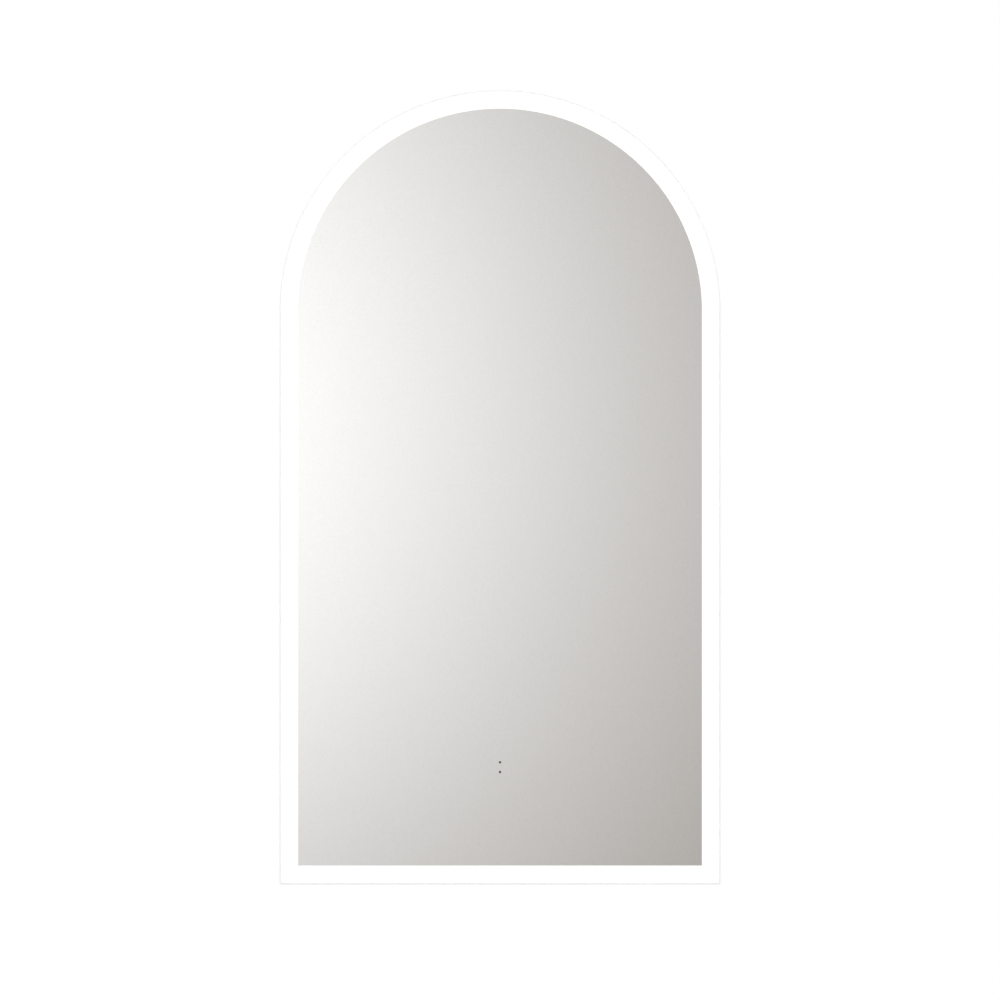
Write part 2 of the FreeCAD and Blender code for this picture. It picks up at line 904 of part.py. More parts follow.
def junction_cover():
    size = (junction_x, tray_z, junction_width, junction_height)
    cover = cover_plate(*size, junction_back, cover_back, junction_corner)
    panel = centred(junction_x, tray_z, junction_width - 2 * panel_margin, junction_height - 2 * panel_margin)
    recess = plate(panel, cover_back - panel_sink, cover_back, panel_corner)
    return cover.cut(cover_holes(junction_corners(), junction_back, cover_back) + [recess])


def terminal_places():
    reach = (terminal_poles - 1) / 2
    return [junction_x + (i - reach) * terminal_pitch for i in range(terminal_poles)]


def terminal_screw_seats():
    """Seats of the clamp screws, two to a pole, at the bottom of their wells."""
    depth = tray_back + junction_wall + terminal_depth - terminal_screw_sink
    heights = [tray_z + terminal_offset + side * terminal_screw_pitch / 2 for side in (-1, 1)]
    return [at(x, depth, z) for x in terminal_places() for z in heights]


def terminal_block():
    """A row of screw terminals on the junction box's floor, joined by a web."""
    near, z = tray_back + junction_wall, tray_z + terminal_offset
    pole_width = terminal_pitch - terminal_gap
    row_width = terminal_poles * terminal_pitch - terminal_gap
    pieces = [plate(centred(junction_x, z, row_width, terminal_web), near, near + terminal_web_depth)]
    cuts = []
    for x in terminal_places():
        pieces.append(plate(centred(x, z, pole_width, terminal_height), near, near + terminal_depth, 1))
        bore_seat = at(x, near + terminal_bore_lift, z - terminal_height / 2)
        cuts.append(cylinder(terminal_bore, bore_seat, up, terminal_height))
    for seat in terminal_screw_seats():
        cuts.append(cylinder(terminal_screw, seat, back, terminal_screw_sink))
    return fused(pieces).cut(cuts)


def terminal_screws():
    return [cylinder(terminal_screw, seat, back, terminal_screw_height) for seat in terminal_screw_seats()]


# Cable gland, which points down out of the junction box
def gland_seat():
    return at(junction_x, supply_depth, tray_z - junction_height / 2)


def gland_body():
    """A threaded spigot through the wall, with a hexagonal flange outside."""
    inner = junction_wall + gland_locknut + gland_spigot_end
    top = gland_seat() + up * inner
    spigot = cylinder(gland_thread, top, down, inner)
    flange = hexagonal(gland_hex, gland_flange, gland_seat(), down)
    bore = cylinder(gland_bore + 2 * gland_bore_gap, top, down, inner + gland_flange)
    return fused([spigot, flange]).cut(bore)


def gland_locking_nut():
    seat = gland_seat() + up * junction_wall
    nut = hexagonal(gland_hex, gland_locknut, seat, up)
    return nut.cut(cylinder(gland_thread, seat, up, gland_locknut))


def gland_dome_nut():
    """The nut that closes on the cable, domed, with grip grooves round it."""
    seat = gland_seat() + down * gland_flange
    outer, bore, length = gland_hex / 2, gland_bore / 2, gland_dome_length
    outline = [
        (bore, 0),
        (outer, 0),
        (outer, length * 0.6),
        (outer * 0.9, length * 0.82),
        (outer * 0.72, length * 0.96),
        (outer * 0.6, length),
        (bore, length),
    ]
    grooves = []
    for i in range(gland_rib_count):
        turn = 2 * math.pi * (i + 0.5) / gland_rib_count
        rim_point = Vector(outer * math.cos(turn), outer * math.sin(turn), -gland_groove_start)
        grooves.append(cylinder(gland_groove, seat + rim_point, down, length * 0.6 - gland_groove_start))
    return lathed(outline, seat, down).cut(grooves)


# Driver
def driver_corners():
    return boss_places(driver_x, tray_z, driver_length, driver_height)


def nozzle(end, out, diameter):
    """A tapered sleeve round a lead, where it leaves the driver."""
    tip = diameter / 2 + nozzle_wall
    root = tip + nozzle_taper
    sunk = driver_wall / 2
    return lathed([(0, -sunk), (root, -sunk), (tip, nozzle_length), (0, nozzle_length)], end, out)


def driver_case():
    size = (driver_x, tray_z, driver_length, driver_height)
    pieces = [shell(*size, tray_back, driver_back, driver_wall, driver_corner)]
    pieces += bosses(driver_corners(), tray_back + driver_wall / 2, driver_back)
    cuts = boss_bores(driver_corners(), driver_back)
    for x, z in ear_places():
        ear = centred(x, z, driver_ear + 2 * driver_wall, driver_ear_width)
        pieces.append(plate(ear, tray_back, tray_back + driver_ear_thickness, driver_wall))
    for seat in ear_seats():
        cuts.append(cylinder(screw_diameter + screw_gap, seat, front, driver_ear_thickness))
    sleeves = [(driver_start, left, mains_diameter), (driver_end, right, lead_diameter)]
    for x, out, diameter in sleeves:
        end = at(x, supply_depth, tray_z)
        pieces.append(nozzle(end, out, diameter))
        cuts.append(cylinder(diameter, end - out * driver_wall, out, driver_wall + nozzle_length))
    peg_length = driver_wall / 2 + driver_peg_height
    for x, z in corner_places(driver_x, tray_z, driver_length, driver_height, driver_peg_inset):
        pieces.append(cylinder(driver_peg, at(x, tray_back + driver_wall / 2, z), back, peg_length))
    return fused(pieces).cut(cuts)


def driver_cover():
    """The driver's cover, with a row of ribs."""
    face = driver_back + driver_cover_thickness
    cover = cover_plate(driver_x, tray_z, driver_length, driver_height, driver_back, face, driver_corner)
    ribs = []
    for i in range(driver_rib_count):
        x = driver_x + (i - (driver_rib_count - 1) / 2) * driver_rib_pitch
        rib = centred(x, tray_z, driver_rib_width, driver_height - 2 * driver_rib_margin)
        ribs.append(plate(rib, face - driver_rib_height, cover_back))
    return fused([cover] + ribs).cut(cover_holes(driver_corners(), driver_back, face))


def driver_board():
    """The circuit board, notched round the bosses."""
    width = driver_length - 2 * (driver_wall + board_gap)
    height = driver_height - 2 * (driver_wall + board_gap)
    board = plate(centred(driver_x, tray_z, width, height), driver_board_front, driver_board_back)
    notch, seats = boss_diameter + 2 * board_gap, [at(x, driver_board_front, z) for x, z in driver_corners()]
    return board.cut([cylinder(notch, seat, back, board_thickness) for seat in seats])


def core_depths():
    """The transformer core's front and back."""
    return driver_board_back + core_lift, driver_back - part_headroom


def driver_transformer_core():
    """A ferrite ring, which the winding passes through."""
    near, far = core_depths()
    x = driver_x + core_x
    core = plate(centred(x, tray_z, core_width, core_length), near, far)
    opening = centred(x, tray_z, core_width - 2 * core_leg, core_length)
    return core.cut(plate(opening, near + yoke_thickness, far - yoke_thickness))


def driver_transformer_coil():
    """The winding, between two flanges that stand on the board."""
    near, far = core_depths()
    x = driver_x + core_x
    gap = yoke_thickness + winding_gap
    width = core_width - 2 * (core_leg + winding_gap)
    pieces = [plate(centred(x, tray_z, width, winding_length), near + gap, far - gap)]
    for side in (-1, 1):
        z = tray_z + side * (winding_length + bobbin_flange) / 2
        pieces.append(plate(centred(x, z, width, bobbin_flange), driver_board_back, far - yoke_thickness))
    return fused(pieces)


def driver_capacitors():
    cans = []
    for along, across, diameter, room in capacitors:
        seat = at(driver_x + along, driver_board_back, tray_z + across)
        cans.append(cylinder(diameter, seat, back, driver_back - driver_board_back - room))
    return cans


# Wave sensor
def sensor_tape():
    width, height = sensor_width - 2 * sensor_tape_margin, sensor_height - 2 * sensor_tape_margin
    pad = plate(centred(0, sensor_z, width, height), film_back, sensor_front, sensor_corner)
    return pad.cut(window_holes(film_back, sensor_front, window_diameter + window_case_gap))


def sensor_case():
    size = (0, sensor_z, sensor_width, sensor_height)
    case = shell(*size, sensor_front, sensor_case_back, sensor_wall, sensor_corner)
    cuts = window_holes(sensor_front, sensor_front + sensor_wall, window_diameter + window_case_gap)
    for z in sensor_lead_heights():
        cuts.append(cylinder(lead_diameter, at(sensor_width / 2, lead_depth, z), left, sensor_wall))
    return case.cut(cuts)


def sensor_cover():
    """The sensor's cover, with a spigot that fits inside the case."""
    far = sensor_case_back + sensor_cover_thickness
    cover = cover_plate(0, sensor_z, sensor_width, sensor_height, sensor_case_back, far, sensor_corner)
    width = sensor_width - 2 * (sensor_wall + cover_fit)
    height = sensor_height - 2 * (sensor_wall + cover_fit)
    near = sensor_case_back - cover_spigot
    spigot = plate(centred(0, sensor_z, width, height), near, sensor_case_back, sensor_corner - sensor_wall)
    inner = centred(0, sensor_z, width - 2 * cover_spigot_wall, height - 2 * cover_spigot_wall)
    return fused([cover, spigot.cut(plate(inner, near, sensor_case_back))])


def sensor_board():
    width = sensor_width - 2 * (sensor_wall + board_gap)
    height = sensor_height - 2 * (sensor_wall + board_gap)
    outline = centred(0, sensor_z, width, height)
    return plate(outline, sensor_board_front, sensor_board_front + sensor_board_thickness)


def sensor_lenses():
    """The emitter and the receiver, which stand on the board and reach to the back of the glass."""
    length = sensor_board_front - glass_thickness - lens_glass_gap
    radius = lens_diameter / 2
    outline = [
        (0, 0),
        (radius, 0),
        (radius, length - radius * 0.5),
        (radius * 0.8, length - radius * 0.18),
        (radius * 0.4, length),
        (0, length),
    ]
    return [lathed(outline, at(0, sensor_board_front, z), front) for z in window_places()]


# Demister
def demister_pad():
    middle_z = pad_foot_z + pad_height / 2
    return plate(centred(0, middle_z, pad_width, pad_height), film_back, pad_back, pad_corner)


def demister_boot():
    """The moulded cover of the pad's terminals, with a socket for the lead."""
    middle_z = boot_foot_z + boot_height / 2
    size = (boot_x, middle_z, boot_width, boot_height)
    boot = cover_plate(*size, pad_back, pad_back + boot_depth, boot_corner)
    return boot.cut(cylinder(lead_diameter, at(boot_x, lead_depth, boot_foot_z), up, boot_socket))


# Light strips, on the trough's inner wall
def light_strip_arch():
    """One flexible strip up a leg, over the head and down the other leg."""
    outline = rectangle(chamber_x, chamber_x + strip_thickness, strip_foot_z, spring_z)
    leg = plate(outline, strip_front, strip_front + strip_width)
    section = centred(chamber_x + strip_thickness / 2, y_at(strip_middle), strip_thickness, strip_width)
    corners = [Vector(x, y, spring_z) for x, y in section]
    face = Part.Face(Part.makePolygon(corners + corners[:1]))
    head = face.revolve(Vector(0, 0, spring_z), front, 180)
    return fused([leg, head, mirrored(leg)])


def light_strip_foot():
    half, top = chamber_x - strip_corner_gap, foot_z + chamber_inset
    return plate(rectangle(-half, half, top - strip_thickness, top), strip_front, strip_front + strip_width)


def led(seat, out):
    """One surface-mounted lamp, which stands at seat and shines along out."""
    along = out.cross(back)
    corners = []
    for i, j in rectangle(-led_along / 2, led_along / 2, -led_across / 2, led_across / 2):
        corners.append(seat + along * i + back * j)
    return Part.Face(Part.makePolygon(corners + corners[:1])).extrude(out * led_height)


def leds():
    lamps = []
    lamp_x = chamber_x + strip_thickness
    for i in range(int((spring_z - strip_foot_z) / led_pitch)):
        seat = at(lamp_x, strip_middle, spring_z - (i + 0.5) * led_pitch)
        lamps += both_sides([led(seat, right)])
    head_count = int(math.pi * lamp_x / led_pitch)
    for i in range(head_count):
        turn = math.pi * (i + 0.5) / head_count
        out = Vector(math.cos(turn), 0, math.sin(turn))
        lamps.append(led(at(0, strip_middle, spring_z) + out * lamp_x, out))
    foot_count = int(2 * (chamber_x - strip_corner_gap) / led_pitch)
    for i in range(foot_count):
        x = (i - (foot_count - 1) / 2) * led_pitch
        lamps.append(led(at(x, strip_middle, foot_z + chamber_inset - strip_thickness), down))
    return lamps


# Leads
def route_wire(points, largest_radius):
    """Straight runs joined by tangent arcs, each as large as its two runs allow."""
    edges, last = [], points[0]
    for before, corner, after in zip(points, points[1:], points[2:]):
        to_last, to_next = before - corner, after - corner
        half_turn = (math.pi - to_last.getAngle(to_next)) / 2
        shorter = min(to_last.Length, to_next.Length)
        radius = min(largest_radius, 0.45 * shorter / math.tan(half_turn))
        reach = radius * math.tan(half_turn)
        to_last.normalize()
        to_next.normalize()
        inward = (to_last + to_next).normalize()
        start, end = corner + to_last * reach, corner + to_next * reach
        middle = corner + inward * (radius / math.cos(half_turn) - radius)
        edges.append(Part.LineSegment(last, start).toShape())
        edges.append(Part.Arc(start, middle, end).toShape())
        last = end
    edges.append(Part.LineSegment(last, points[-1]).toShape())
    return Part.Wire(edges)


def lead(points, diameter):
    """A round lead along its route."""
    section = Part.Wire(Part.makeCircle(diameter / 2, points[0], points[1] - points[0]))
    return route_wire(points, lead_bend * diameter).makePipeShell([section], True, False)


def ribbon(points, width, thickness):
    """A flat lead along its route, with its width from front to back."""
    across = (points[1] - points[0]).normalize().cross(back)
    corners = []
    for i, j in rectangle(-thickness / 2, thickness / 2, -width / 2, width / 2):
        corners.append(points[0] + across * i + back * j)
    section = Part.makePolygon(corners + corners[:1])
    return route_wire(points, lead_bend * thickness).makePipeShell([section], True, False)


def mains_route():
    """From the junction box to the driver, with a little sag between them."""
    start, end = junction_side - junction_wall, driver_start - driver_wall
    middle = (start + end - nozzle_length) / 2
    return [
        at(start, supply_depth, tray_z),
        at(middle - lead_step, supply_depth, tray_z),
        at(middle, supply_depth, tray_z - lead_sag),
        at(middle + lead_step, supply_depth, tray_z),
        at(end, supply_depth, tray_z),
    ]


def demister_route():
    """From the top of the junction box to the pad's boot, down on to the film behind the tray's flange."""
    box_top = tray_z + junction_height / 2 - junction_wall
    exit_x = junction_side - junction_lead_inset
    return [
        at(exit_x, supply_depth, box_top),
        at(exit_x, supply_depth, tray_high + lead_turn / 2),
        at(boot_x, lead_depth, tray_high + lead_turn / 2 + lead_dive),
        at(boot_x, lead_depth, boot_foot_z + boot_socket),
    ]


def earth_route():
    """From the junction box down to the tag on the tray."""
    exit_depth, exit_z = supply_depth - earth_exit_lift, tray_z - earth_exit_drop
    seat = earth_seat()
    barrel_y = seat.y + earth_diameter / 2 + cover_fit
    return [
        at(junction_side - junction_wall, exit_depth, exit_z),
        at(junction_side + earth_lead_run, exit_depth, exit_z),
        Vector(seat.x - tag_barrel_reach - lead_tail, barrel_y, seat.z),
        Vector(seat.x - tag_barrel_reach + tag_grip, barrel_y, seat.z),
    ]


def earth_tag():
    """A ring under its screw, with a neck and a barrel that is crimped on the lead."""
    seat = earth_seat()
    hole = cylinder(screw_diameter + screw_gap, seat, back, tag_thickness)
    ring = cylinder(tag_ring, seat, back, tag_thickness)
    neck_outline = rectangle(seat.x - tag_barrel_reach, seat.x, seat.z - tag_neck / 2, seat.z + tag_neck / 2)
    neck = plate(neck_outline, tray_back, tray_back + tag_thickness)
    barrel_seat = Vector(seat.x - tag_barrel_reach, earth_route()[-1].y, seat.z)
    barrel_diameter = earth_diameter + 2 * tag_barrel_wall
    barrel = cylinder(barrel_diameter, barrel_seat, right, tag_barrel_length)
    barrel_room = centred(barrel_seat.x + tag_barrel_length / 2, seat.z, tag_barrel_length, barrel_diameter)
    barrel = barrel.common(plate(barrel_room, tray_back, frame_depth))
    tag = fused([ring, neck, barrel])
    return tag.cut([hole, cylinder(earth_diameter, barrel_seat, right, tag_grip)])


def earth_screw():
    return pan_screw(earth_seat() + back * tag_thickness, back, tag_thickness + tray_thickness)


def sensor_lead_heights():
    """Where the supply lead and the light lead enter the sensor."""
    return sensor_z + sensor_lead_pitch / 2, sensor_z - sensor_lead_pitch / 2


def supply_route():
    """From the driver's far end, down past the tray and along the film to the sensor."""
    turn_x = driver_end + nozzle_length + driver_ear + lead_turn
    end_z = sensor_lead_heights()[0]
    below_tray = tray_low - lead_turn / 2
    return [
        at(driver_end - driver_wall, supply_depth, tray_z),
        at(turn_x, supply_depth, tray_z),
        at(turn_x, supply_depth, below_tray),
        at(turn_x, lead_depth, below_tray - lead_dive),
        at(turn_x, lead_depth, end_z),
        at(sensor_width / 2 - sensor_wall, lead_depth, end_z),
    ]


def light_route():
    """From the sensor along the film, and back to the hole in the right leg."""
    start_z, feed = sensor_lead_heights()[1], feed_seat()
    turn_x = leg_x - light_lead_inset
    return [
        at(sensor_width / 2 - sensor_wall, lead_depth, start_z),
        at(turn_x, lead_depth, start_z),
        at(turn_x, lead_depth, feed.z + light_lead_rise + lead_dive),
        at(turn_x, strip_middle, feed.z + light_lead_rise),
        at(turn_x + light_lead_rise, strip_middle, feed.z),
        feed + right * frame_wall,
    ]


def strip_tails():
    """The light lead's two branches in the trough: up to the long strip, and round the corner."""
    feed = feed_seat()
    start, side_step = feed.x + frame_wall, (tail_width + tail_gap) / 2
    beside = chamber_x + strip_thickness + tail_thickness / 2
    under = foot_z + chamber_inset - strip_thickness - tail_thickness / 2
    foot_end = chamber_x - strip_corner_gap
    to_arch = [
        at(start, strip_middle - side_step, feed.z),
        at(beside + 2 * tail_step, strip_middle - side_step, feed.z),
        at(beside, strip_middle - side_step, strip_foot_z + 2 * tail_step),
    ]
    to_foot = [
        at(start, strip_middle + side_step, feed.z),
        at(beside + tail_step, strip_middle + side_step, feed.z),
        at(beside + tail_step, strip_middle + side_step, under - tail_step),
        at(foot_end - 2 * tail_step, strip_middle + side_step, under),
    ]
    return [ribbon(points, tail_width, tail_thickness) for points in (to_arch, to_foot)]


def feed_grommet():
    """A rubber grommet in the hole that the light lead passes through."""
    bore, groove = lead_diameter / 2, feed_hole / 2
    collar = groove + grommet_rim
    outline = [
        (bore, -grommet_rim),
        (collar, -grommet_rim),
        (collar, 0),
        (groove, 0),
        (groove, frame_wall),
        (collar, frame_wall),
        (collar, frame_wall + grommet_rim),
        (bore, frame_wall + grommet_rim),
    ]
    return lathed(outline, feed_seat(), right)


def clip(x, z, along):
    """An adhesive clip on the film: a square foot, and a hoop round the lead that is open at the back."""
    middle = at(x, lead_depth, z)
    side = Vector(abs(along.z), 0, abs(along.x))
    bore = lead_diameter + 2 * clip_fit
    start = middle - along * (clip_length / 2)
    hoop = cylinder(bore + 2 * clip_wall, start, along, clip_length)
    room = side * bore + Vector(abs(along.x), 0, abs(along.z)) * clip_length
    neck = plate(centred(x, z, room.x, room.z), film_back, lead_depth)
    mouth_size = room + side * (clip_mouth - bore)
    mouth = plate(centred(x, z, mouth_size.x, mouth_size.z), lead_depth, lead_depth + bore)
    foot = plate(centred(x, z, clip_size, clip_size), film_back, film_back + clip_base)
    return fused([foot, hoop, neck]).cut([cylinder(bore, start, along, clip_length), mouth])


def lead_clips():
    supply_z, light_z = sensor_lead_heights()
    light = light_route()
    first = sensor_width / 2 + clip_spacing / 2
    return [
        clip(first, supply_z, right),
        clip(first, light_z, right),
        clip(first + 2 * clip_spacing, light_z, right),
        clip(light[1].x, (light[1].z + light[2].z) / 2, up),
    ]


nodes = {
    "wall_rail": wall_rail(),
    "hanger_bar": hanger_bar(),
    "hanger_screws": tab_screws(hanger_z, hanger_screw_pitch, hanger_thickness),
    "mirror_glass": mirror_glass(),
    "silvering": silvering(),
    "safety_film": safety_film(),
    "bond_tape": bond_tape(),
    "edge_seal": edge_seal(),
    "frame_arch": frame_arch(),
    "frame_foot": frame_foot(),
    "corner_key_right": corner_key(),
    "corner_key_left": mirrored(corner_key()),
    "corner_screws": corner_screws(),
    "wall_bumpers": wall_bumpers(),
    "light_strip_arch": light_strip_arch(),
    "light_strip_foot": light_strip_foot(),
    "leds": leds(),
    "strip_tails": strip_tails(),
    "feed_grommet": feed_grommet(),
    "tray": tray(),
    "tray_screws": tab_screws(tray_z, tray_screw_pitch, tray_thickness),
    "device_screws": device_screws(),
    "junction_box": junction_box(),
    "junction_cover": junction_cover(),
    "junction_cover_screws": cover_screws(junction_corners(), cover_back),
    "terminal_block": terminal_block(),
    "terminal_screws": terminal_screws(),
    "gland_body": gland_body(),
    "gland_locking_nut": gland_locking_nut(),
    "gland_dome_nut": gland_dome_nut(),
    "driver_case": driver_case(),
    "driver_cover": driver_cover(),
    "driver_cover_screws": cover_screws(driver_corners(), driver_back + driver_cover_thickness),
    "driver_board": driver_board(),
    "driver_transformer_core": driver_transformer_core(),
    "driver_transformer_coil": driver_transformer_coil(),
    "driver_capacitors": driver_capacitors(),
    "sensor_tape": sensor_tape(),
    "sensor_case": sensor_case(),
    "sensor_cover": sensor_cover(),
    "sensor_board": sensor_board(),
    "sensor_lenses": sensor_lenses(),
    "demister_pad": demister_pad(),
    "demister_boot": demister_boot(),
    "mains_lead": lead(mains_route(), mains_diameter),
    "demister_lead": lead(demister_route(), lead_diameter),
    "supply_lead": lead(supply_route(), lead_diameter),
    "light_lead": lead(light_route(), lead_diameter),
    "earth_lead": lead(earth_route(), earth_diameter),
    "earth_tag": earth_tag(),
    "earth_screw": earth_screw(),
    "lead_clips": lead_clips(),
}

os.makedirs("parts", exist_ok=True)
for name, shape in nodes.items():
    if isinstance(shape, list):
        shape = Part.makeCompound(shape)
    shape.exportStep("parts/" + name + ".step")
    state = "valid" if shape.isValid() else "NOT VALID"
    print(name, len(shape.Solids), "solids,", round(shape.Volume), "mm3,", state)
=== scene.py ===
import math

import bmesh
import bpy
import numpy as np
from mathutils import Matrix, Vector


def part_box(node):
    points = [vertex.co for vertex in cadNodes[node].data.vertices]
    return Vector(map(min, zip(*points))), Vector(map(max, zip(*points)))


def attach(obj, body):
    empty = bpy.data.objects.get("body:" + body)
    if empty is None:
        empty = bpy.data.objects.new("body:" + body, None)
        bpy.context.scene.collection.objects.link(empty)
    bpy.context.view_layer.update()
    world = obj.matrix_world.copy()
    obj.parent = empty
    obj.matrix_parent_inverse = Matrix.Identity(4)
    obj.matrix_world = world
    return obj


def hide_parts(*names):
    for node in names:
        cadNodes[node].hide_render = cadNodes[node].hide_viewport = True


# A lit arched wall mirror, in metres: +X to the right, +Y into the wall, +Z up, the origin on the wall.
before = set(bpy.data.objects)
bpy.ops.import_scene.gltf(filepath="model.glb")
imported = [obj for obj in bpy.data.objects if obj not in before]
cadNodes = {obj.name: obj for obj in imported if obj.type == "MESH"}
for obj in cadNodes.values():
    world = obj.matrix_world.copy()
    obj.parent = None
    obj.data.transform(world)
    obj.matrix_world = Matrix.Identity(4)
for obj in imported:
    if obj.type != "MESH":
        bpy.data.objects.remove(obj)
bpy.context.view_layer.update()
materials = {}
mm = 0.001
samePoint = 0.001 * mm  # points nearer to each other than this are one

frameLow, frameHigh = (np.array(corner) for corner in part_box("frame_arch"))
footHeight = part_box("frame_foot")[0][2]
halfWidth = frameHigh[0]
springHeight = frameHigh[2] - halfWidth  # where the legs end and the half circle begins
glassLow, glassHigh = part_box("mirror_glass")
silverLow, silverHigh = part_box("silvering")
glassInset = halfWidth - glassHigh[0]
silverInset = halfWidth - silverHigh[0]
stripLow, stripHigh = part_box("light_strip_arch")
stripDepth = (stripLow[1] + stripHigh[1]) / 2  # the middle line of the strips and of their lamps


# Points on the outline moved inwards by inset. turn goes once round, from 0 to 4: over the half circle from
# right to left by an even angle, and evenly down the left leg, along the foot and up the right leg.
def archOutline(inset, turn):
    half = halfWidth - inset
    foot = footHeight + inset
    angle = np.pi * np.clip(turn, 0, 1)
    down = np.clip(turn - 1, 0, 1)
    across = np.clip(turn - 2, 0, 1)
    rise = np.clip(turn - 3, 0, 1)
    x = half * (np.cos(angle) + 2 * across)
    z = springHeight + half * np.sin(angle) + (foot - springHeight) * (down - rise)
    return x, z


# Samples of turn, closer on the half circle than on the straight stretches
def outlineTurns(headSteps, straightSteps):
    head = np.linspace(0, 1, headSteps, endpoint=False)
    return np.concatenate([head] + [np.linspace(i, i + 1, straightSteps, endpoint=False) for i in (1, 2, 3)])


# The section's (inset, y) points carried round the outline, a row for each point and a column for each turn
def carriedRoundOutline(section, turns):
    inset, y = np.array(section).T
    x, z = archOutline(inset[:, None], turns[None, :])
    return np.stack([x, np.broadcast_to(y[:, None], x.shape), z], axis=-1)


# Points round the z axis, from radius, angle and height
def turned(radius, angle, height):
    return np.stack(np.broadcast_arrays(radius * np.cos(angle), radius * np.sin(angle), height), axis=-1)


# A face for each four neighbours of a grid of point numbers
def gridFaces(index):
    return np.stack([index[:-1, :-1], index[:-1, 1:], index[1:, 1:], index[1:, :-1]], axis=-1).reshape(-1, 4)


def newObject(name, data):
    made = bpy.data.objects.new(name, data)
    bpy.context.scene.collection.objects.link(made)
    return made


# One piece from grids of points, rows x columns x 3, whose columns close on themselves. Points that meet are
# merged, and the faces are turned outwards. look is its material, where that isn't the slot's own.
def gridPiece(name, grids, slot, look=None, wrapRows=False, sharpAngle=35):
    points, faces, first = [], [], 0
    for grid in grids:
        rows, columns = grid.shape[:2]
        index = first + np.arange(rows * columns).reshape(rows, columns)
        index = np.hstack([index, index[:, :1]])
        if wrapRows:
            index = np.vstack([index, index[:1]])
        faces.append(gridFaces(index))
        points.append(grid.reshape(-1, 3))
        first += rows * columns
    mesh = bpy.data.meshes.new(name)
    mesh.from_pydata(np.vstack(points).tolist(), [], np.vstack(faces).tolist())
    work = bmesh.new()
    work.from_mesh(mesh)
    bmesh.ops.remove_doubles(work, verts=work.verts, dist=samePoint)
    bmesh.ops.dissolve_degenerate(work, edges=work.edges, dist=samePoint / 10)
    bmesh.ops.recalc_face_normals(work, faces=work.faces)
    work.to_mesh(mesh)
    work.free()
    mesh.shade_smooth()
    mesh.set_sharp_from_angle(angle=math.radians(sharpAngle))
    mesh.materials.append(materials[look or slot])
    piece = newObject(name, mesh)
    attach(piece, "mirror")
    return piece


# Node helpers: a value that is a socket is linked, and any other is set
def addNode(tree, kind, inputs=None, **settings):
    node = tree.nodes.new(kind)
    for key, value in settings.items():
        setattr(node, key, value)
    for key, value in (inputs or {}).items():
        if isinstance(value, bpy.types.NodeSocket):
            tree.links.new(value, node.inputs[key])
        else:
            node.inputs[key].default_value = value
    return node


def calc(tree, operation, *values):
    return addNode(tree, "ShaderNodeMath", dict(enumerate(values)), operation=operation).outputs[0]


def product(tree, *values):
    return calc(tree, "MULTIPLY", *values)


def vectorCalc(tree, operation, *values):
    output = "Value" if operation in ("DOT_PRODUCT", "LENGTH") else "Vector"
    return addNode(tree, "ShaderNodeVectorMath", dict(enumerate(values)), operation=operation).outputs[output]


def noise(tree, vector, scale, detail=2.0, output=0):
    inputs = {"Vector": vector, "Scale": scale, "Detail": detail}
    return addNode(tree, "ShaderNodeTexNoise", inputs).outputs[output]


def cells(tree, vector, scale, output=0, **settings):
    inputs = {"Vector": vector, "Scale": scale}
    return addNode(tree, "ShaderNodeTexVoronoi", inputs, **settings).outputs[output]


# Goes smoothly from toLow to toHigh as the value goes from low to high
def ramp(tree, value, low, high, toLow=0.0, toHigh=1.0):
    inputs = {"Value": value, 1: low, 2: high, 3: toLow, 4: toHigh}
    return addNode(tree, "ShaderNodeMapRange", inputs, interpolation_type="SMOOTHSTEP").outputs[0]


# Goes evenly from low to high as the value goes from 0 to 1
def between(tree, value, low, high):
    return calc(tree, "MULTIPLY_ADD", value, high - low, low)


def distance(tree, value, middle):
    return calc(tree, "ABSOLUTE", calc(tree, "SUBTRACT", value, middle))


# A sine or cosine along a way, with its pitch in mm
def wave(tree, curve, way, pitch):
    return calc(tree, curve, product(tree, way, 2 * math.pi / (pitch * mm)))


def mixed(tree, factor, first, second):
    return addNode(tree, "ShaderNodeMix", {0: factor, 6: first, 7: second}, data_type="RGBA").outputs[2]


def separated(tree, vector):
    return addNode(tree, "ShaderNodeSeparateXYZ", {0: vector}).outputs


def combined(tree, x, y, z):
    return addNode(tree, "ShaderNodeCombineXYZ", {0: x, 1: y, 2: z}).outputs[0]


# A colour or a direction times one value
def times(tree, vector, value):
    return vectorCalc(tree, "MULTIPLY", vector, combined(tree, value, value, value))


def objectPlace(tree):
    return addNode(tree, "ShaderNodeTexCoord").outputs["Object"]


def surfaceNormal(tree):
    return separated(tree, addNode(tree, "ShaderNodeNewGeometry").outputs["Normal"])


def rgb(red, green, blue):
    return (red, green, blue, 1)


def grey(level):
    return rgb(level, level, level)


# Lengths in mm, as metres from a start
def metres(lengths, start=0.0):
    return [start + length * mm for length in lengths]


# A node group, from the names of its inputs and outputs. Those that aren't in socketKinds are numbers.
socketKinds = dict(Colour="Color", Normal="Vector", Place="Vector", Faceted="Vector", Stretched="Vector")


def newGroup(name, inputs, outputs):
    group = bpy.data.node_groups.new(name, "ShaderNodeTree")
    for way, labels in (("INPUT", inputs), ("OUTPUT", outputs)):
        for label in labels:
            kind = "NodeSocket" + socketKinds.get(label, "Float")
            group.interface.new_socket(label, in_out=way, socket_type=kind)
    given = group.nodes.new("NodeGroupInput")
    result = group.nodes.new("NodeGroupOutput")
    return group, given.outputs, result.inputs


def useGroup(tree, group, **values):
    return addNode(tree, "ShaderNodeGroup", values, node_tree=group).outputs


